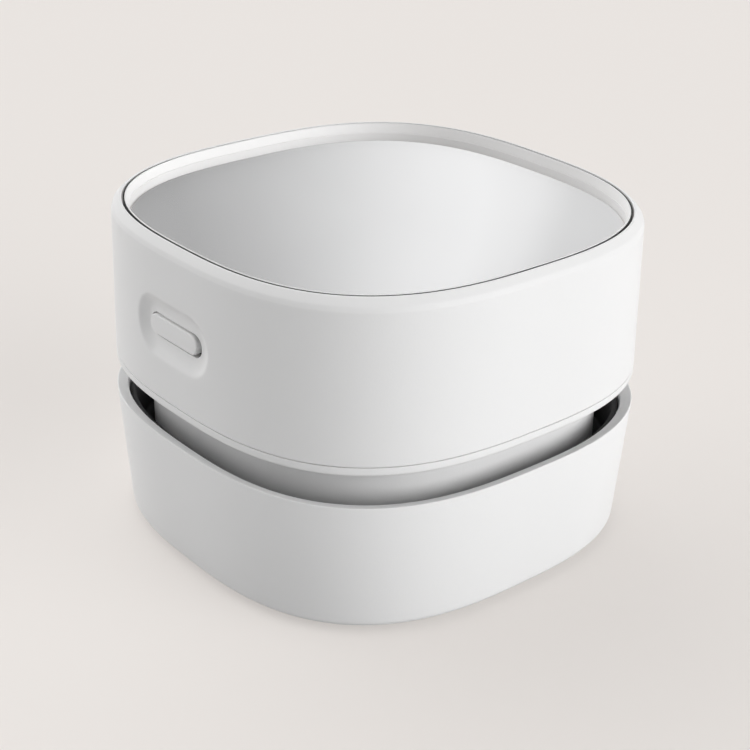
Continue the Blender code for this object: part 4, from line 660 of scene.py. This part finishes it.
def make_window_tools():
    """Cutters for the exhaust windows all round the waist."""
    shape = bmesh.new()
    size = Matrix.Diagonal((12 * MM, WINDOW_WIDTH * MM, WINDOW_HEIGHT * MM, 1))
    for i in range(WINDOW_COUNT):
        turn = Matrix.Rotation(math.tau * (i + 0.5) / WINDOW_COUNT, 4, "Z")
        place = Matrix.Translation(Vector((38.5, 0, WINDOW_Z + WINDOW_HEIGHT / 2)) * MM)
        bmesh.ops.create_cube(shape, size=1, matrix=turn @ place @ size)
    return add_object("windows", shape)


def make_waist():
    """Grey wall between the shells, with the exhaust windows low down behind the bin's rim."""
    inside = 38.7
    levels = [31.4 - 0.6 * i for i in range(12)]
    outline = rounded(
        [(inside, 33.4, 0.2), (inside, 32.0, 0.2), (waist_half(LIP_Z), 32.0, 0.1)]
        + [(waist_half(min(z, LIP_Z)), z, 0) for z in levels]
        + [
            (waist_half(RIM_Z), 17.3, 0.3),
            (POD_FOOT_HALF, POD_FOOT_Z, 0.3),
            (POD_FOOT_HALF - 1.5, POD_FOOT_Z, 0.2),
            (POD_HALF - 1.9, 33.4, 0.2),
        ]
    )
    waist = add_object("waist_wall", loft(outline, ROUND_THE_BODY))
    notches = [
        disc_tool(f"waist_notch_{i}", 2.6, 31.8, 34.0, polar(SHELL_SCREW_RING, angle, 0))
        for i, angle in enumerate(DIAGONALS)
    ]
    cut(waist, make_window_tools(), *notches)
    return piece(waist, pod_grey, "head", "grey_pod_plastic", "motor_pod")


def make_lip():
    """White closing plate under the head, whose rounded edge shows below the parting line."""
    outline = rounded(
        [
            (SHELL_FOOT_HALF - 0.02, PARTING_Z - 0.15, 0.06),
            (SHELL_FOOT_HALF - 0.05, LIP_Z, 0.5),
            (POD_HALF + 0.75, LIP_Z, 0.2),
            (POD_HALF + 0.75, PARTING_Z - 0.15, 0.1),
        ]
    )
    lip = add_object("head_lip", loft(outline, ROUND_THE_BODY))
    tools = []
    for i, angle in enumerate(DIAGONALS):
        place = polar(SHELL_SCREW_RING, angle, 0)
        tools.append(disc_tool(f"lip_seat_{i}", SCREW_HEAD_RADIUS + 0.15, 29.0, LIP_Z + 1.0, place))
        tools.append(disc_tool(f"lip_hole_{i}", 1.1, 29.0, 33.0, place))
    cut(lip, *tools)
    return piece(lip, white, "head", "satin_white_plastic", "lower_cover")


make_waist()
make_lip()


# Head


def shell_half(z):
    """Half width of the head's outside at a height."""
    return SHELL_FOOT_HALF + (z - PARTING_Z) / (BEVEL_Z - PARTING_Z) * (SHELL_TOP_HALF - SHELL_FOOT_HALF)


def inside_pill(y, z, length, height):
    """How far a point lies inside a slot shape's edge."""
    across = max(abs(y) - (length - height) / 2, 0)
    return height / 2 - math.hypot(across, z)


def dish_depth(y, z):
    """Depth of the button's dish at a point of the side: a crisp edge, then a soft bowl."""
    share = min(max(inside_pill(y, z, DISH_LENGTH, DISH_HEIGHT) / 2.9, 0), 1)
    eased = share * share / (share + 0.10) * 1.10
    return DISH_DEPTH * (1 - (1 - eased) ** 2.0)


def make_head():
    """Upper shell: wall, bevelled rim, the button's dish and the charging port."""
    wall = 1.9
    outline = rounded(
        [
            (SEAM_HALF, TOP_Z, 0.08),
            (40.62, TOP_Z, 0.15),
            (41.72, BEVEL_Z + 0.75, 1.1),
            (SHELL_TOP_HALF, BEVEL_Z - 0.1, 0.8),
            (SHELL_FOOT_HALF, PARTING_Z, 0.1),
            (SHELL_FOOT_HALF - wall, PARTING_Z, 0.2),
            (shell_half(51.1) - wall, 51.1, 0.4),
            (38.6, 52.7, 0.2),
            (38.6, 53.7, 0.2),
            (SEAM_HALF, 53.7, 0.1),
        ],
        turns=6,
    )
    rows = []
    for i, point in enumerate(outline):
        rows.append(point)
        after = outline[(i + 1) % len(outline)]
        if abs(after.y - point.y) > 15:
            count = round(abs(after.y - point.y) / 0.3)
            rows.extend(point.lerp(after, step / count) for step in range(1, count))
    fine = [math.radians(162 + 0.4 * i) for i in range(91)]
    coarse = [math.radians(198 + 1.5 * i) for i in range(1, 216)]
    coarse = [turn for turn in coarse if turn < math.radians(360 + 161.9)]
    shape = loft(rows, fine + coarse)
    for point in shape.verts:
        if point.co.x > 0 or abs(point.co.y) > DISH_LENGTH * MM:
            continue
        y, z = point.co.y / MM - DISH_SHIFT, point.co.z / MM - SWITCH_Z + DISH_DROP
        outside = math.hypot(point.co.x, point.co.y) / MM / squircle_reach(math.atan2(point.co.y, point.co.x))
        if outside > shell_half(point.co.z / MM) - wall / 2:
            point.co.x += dish_depth(y, z) * MM
        else:
            point.co.x += 0.7 * min(max(inside_pill(y, z, DISH_LENGTH + 2, DISH_HEIGHT + 2), 0), 1) * MM
    shell = add_object("head_shell", shape)
    slot_height = BUTTON_HEIGHT + BUTTON_PLAY * 2
    shift = BUTTON_SHIFT + BUTTON_LENGTH / 2 + BUTTON_PLAY - SLOT_LENGTH / 2
    slot_rows = [(SLOT_LENGTH, slot_height, 38.0), (SLOT_LENGTH, slot_height, 44.0)]
    hole = side_loft("button_slot", slot_rows, BUTTON_Z, -1, shift)
    surface = shell_half(PORT_Z)
    port = side_loft(
        "port_hole",
        [(9.7, 4.0, 39.0), (9.7, 4.0, surface - 0.35), (10.4, 4.7, surface), (14.4, 8.7, surface + 2.0)],
        PORT_Z,
        1,
    )
    cut(shell, hole, port)
    shell.visible_glossy = False
    return piece(shell, white, "head", "satin_white_plastic", "upper_shell", crease=50)


def make_button():
    """Pill-shaped push button on the dish's floor: a flange behind the shell, a soft edge, a crowned face."""
    face = shell_half(SWITCH_Z) - DISH_DEPTH + BUTTON_PROUD
    edge = 0.28
    flange = (BUTTON_LENGTH + 2.6, BUTTON_HEIGHT + 2.2)
    rows = [(*flange, 38.3), (*flange, 39.1), (BUTTON_LENGTH, BUTTON_HEIGHT, 39.1)]
    for step in range(9):
        turn = math.pi / 2 * step / 8
        inset = edge * (1 - math.cos(turn))
        rise = edge * math.sin(turn)
        rows.append((BUTTON_LENGTH - inset * 2, BUTTON_HEIGHT - inset * 2, face - 0.05 - edge + rise))
    rows.append((BUTTON_LENGTH - 1.5, BUTTON_HEIGHT - 1.5, face - 0.015))
    rows.append((BUTTON_LENGTH - 2.6, BUTTON_HEIGHT - 2.6, face))
    button = side_loft("push_button", rows, BUTTON_Z, -1, BUTTON_SHIFT)
    return piece(button, button_white, "button", "satin_white_plastic", "power_button", crease=50)


def make_button_gap_shadow():
    """Black sheet on the button's flange, seen through the play round the button. It is painted shadow: it
    makes the play read as a dark line.
    """
    rows = [(BUTTON_LENGTH + 2.4, BUTTON_HEIGHT + 2, 39.12), (BUTTON_LENGTH + 2.4, BUTTON_HEIGHT + 2, 39.3)]
    gap_shadow_sheet = side_loft("button_gap_shadow", rows, BUTTON_Z, -1, BUTTON_SHIFT)
    return piece(gap_shadow_sheet, gap_shadow_black, "button", "rubber")


def make_top_ring():
    """White inner ring of the rim: a thin edge, a steep slope and the wall down to the plate."""
    outer = SEAM_HALF - SEAM_GAP
    outline = rounded(
        [
            (outer, TOP_Z - 0.02, 0.08),
            (outer, 54.0, 0.2),
            (36.45, 54.0, 0.2),
            (36.45, 55.0, 0.2),
            (WELL_HALF, 55.0, 0.1),
            (WELL_HALF, TOP_Z - 1.9, 0.1),
            (WELL_HALF + 0.12, TOP_Z - 1.85, 0.06),
            (outer - 0.26, TOP_Z - 0.02, 0.08),
        ]
    )
    ring = add_object("top_ring", loft(outline, ROUND_THE_BODY))
    ring.visible_glossy = False
    return piece(ring, ring_white_shaded_below, "head", "satin_white_plastic", "top_bezel")


def make_seam_shadow_strip():
    """Thin black strip round the top ring, with a fine gap between it and the shell. It is painted shadow: a
    dark sheet in the seam where there is only shade.
    """
    inner, outer, level = SEAM_HALF - SEAM_GAP, SEAM_HALF - 0.25, TOP_Z - 0.12
    corners = ((outer, level), (outer, level - 1), (inner, level - 1), (inner, level))
    outline = [Vector(corner) for corner in corners]
    seam_strip = add_object("seam_shadow_strip", loft(outline, ROUND_THE_BODY))
    seam_strip.visible_glossy = False
    return piece(seam_strip, gap_shadow_black, "head", "rubber")


def make_top_panel():
    """Glossy plate sunk in the top, with a fine rounded edge."""
    half = WELL_HALF - 0.22
    outline = rounded([(half, PLATE_Z, 0.12), (half, 55.3, 0.15), (0, 55.3, 0), (0, PLATE_Z, 0)])
    panel = add_object("top_panel", loft(outline, ROUND_THE_BODY))
    return piece(panel, pearl, "head", "gloss_pearl_plate", "top_plate")


make_head()
make_button()
make_button_gap_shadow()
make_seam_shadow_strip()
make_top_ring()
make_top_panel()


# Studio

BACKDROP = (0.888, 0.847, 0.815)
FLOOR_GREY = 0.5
FLOOR_SHARE = 0.91
SHADOW_SHARE = 0.5
CARD_STRENGTH = 1.2
CARD_TONES = [
    (0.0, 0.60), (0.35, 0.64), (0.38, 0.78), (0.42, 0.85), (0.46, 0.80),
    (0.505, 0.70), (0.55, 0.57), (0.60, 0.43), (0.66, 0.31), (1.0, 0.30),
]


def seen_rays(finish):
    """One for rays that look at the studio, straight or through gloss or glass, and zero for the rest."""
    kinds = ("Is Camera Ray", "Is Glossy Ray", "Is Transmission Ray")
    rays = [finish.node("ShaderNodeLightPath", output=kind) for kind in kinds]
    return (rays[0] + rays[1] + rays[2]).below(1.0)


def make_floor():
    """Plain pale floor, which keeps a soft shadow and throws a plain grey light back."""
    shape = bmesh.new()
    bmesh.ops.create_grid(shape, x_segments=1, y_segments=1, size=4.0)
    floor = add_object("floor", shape)
    made = bpy.data.materials.new("pale_floor")
    made.use_nodes = True
    finish = Finish(made.node_tree)
    shader = made.node_tree.nodes["Principled BSDF"].inputs
    seen = seen_rays(finish)
    grey = (FLOOR_GREY, FLOOR_GREY, FLOOR_GREY, 1)
    finish.feed(shader["Base Color"], finish.mix(seen, grey, shade(BACKDROP, FLOOR_SHARE * SHADOW_SHARE)))
    finish.feed(shader["Emission Color"], finish.mix(seen, (0, 0, 0, 1), shade(BACKDROP, 1 - SHADOW_SHARE)))
    finish.feed(shader["Emission Strength"], 1.0)
    finish.feed(shader["Roughness"], 0.9)
    finish.feed(shader["Specular IOR Level"], 0.0)
    floor.data.materials.append(made)


def make_card():
    """Studio card behind the vacuum. Only the gloss sees it: the top plate mirrors its soft bands."""
    shape = bmesh.new()
    columns = [math.radians(10 + 80 * i / 40) for i in range(41)]
    rows = [
        [shape.verts.new((0.7 * math.cos(turn), 0.7 * math.sin(turn), height)) for height in (0.12, 0.9)]
        for turn in columns
    ]
    for row, after in zip(rows, rows[1:]):
        shape.faces.new((row[0], row[1], after[1], after[0]))
    card = add_object("studio_card", shape)
    made = bpy.data.materials.new("banded_card")
    made.use_nodes = True
    made.node_tree.nodes.clear()
    finish = Finish(made.node_tree)
    x, y = (
        finish.node("ShaderNodeSeparateXYZ", {}, {0: finish.place()}, output=i) for i in (0, 1)
    )
    turn = finish.node("ShaderNodeMath", {"operation": "ARCTAN2"}, {0: y, 1: x})
    share = (turn - math.radians(10)) / math.radians(80)
    tone = finish.node("ShaderNodeValToRGB", {"stops": CARD_TONES}, {0: share})
    light = finish.node("ShaderNodeEmission", {}, {0: tone, 1: CARD_STRENGTH})
    finish.node("ShaderNodeOutputMaterial", {}, {0: light})
    card.data.materials.append(made)
    card.visible_camera = False
    card.visible_diffuse = False
    card.visible_shadow = False


def light_world():
    """Soft studio light: a key and a narrow one beside it, two fills, and a plain pale backdrop."""
    world = bpy.data.worlds.new("studio")
    bpy.context.scene.world = world
    world.use_nodes = True
    tree = world.node_tree
    tree.nodes.clear()
    finish = Finish(tree)
    way = finish.node("ShaderNodeTexCoord", output=0)

    def lobe(azimuth, elevation, tightness, strength):
        aim = direction(math.radians(azimuth), math.radians(elevation))
        facing = finish.node("ShaderNodeVectorMath", {"operation": "DOT_PRODUCT"}, {0: way, 1: aim}, output=1)
        return facing.above(0.0) ** tightness * strength

    key = lobe(295, 10, 8.0, 5.75) + lobe(270, 10, 20.0, 1.45)
    strength = key + lobe(90, 15, 2.0, 2.75) + lobe(160, 20, 6.0, 0.8)
    lamp = finish.node("ShaderNodeBackground", {}, {0: (1, 1, 1, 1), 1: strength})
    backdrop = finish.node("ShaderNodeBackground", {}, {0: (*BACKDROP, 1), 1: 1.0})
    both = finish.node("ShaderNodeMixShader", {}, {0: seen_rays(finish), 1: lamp, 2: backdrop})
    finish.node("ShaderNodeOutputWorld", {}, {0: both})


make_floor()
make_card()
light_world()
bpy.context.scene.view_settings.view_transform = "Standard"
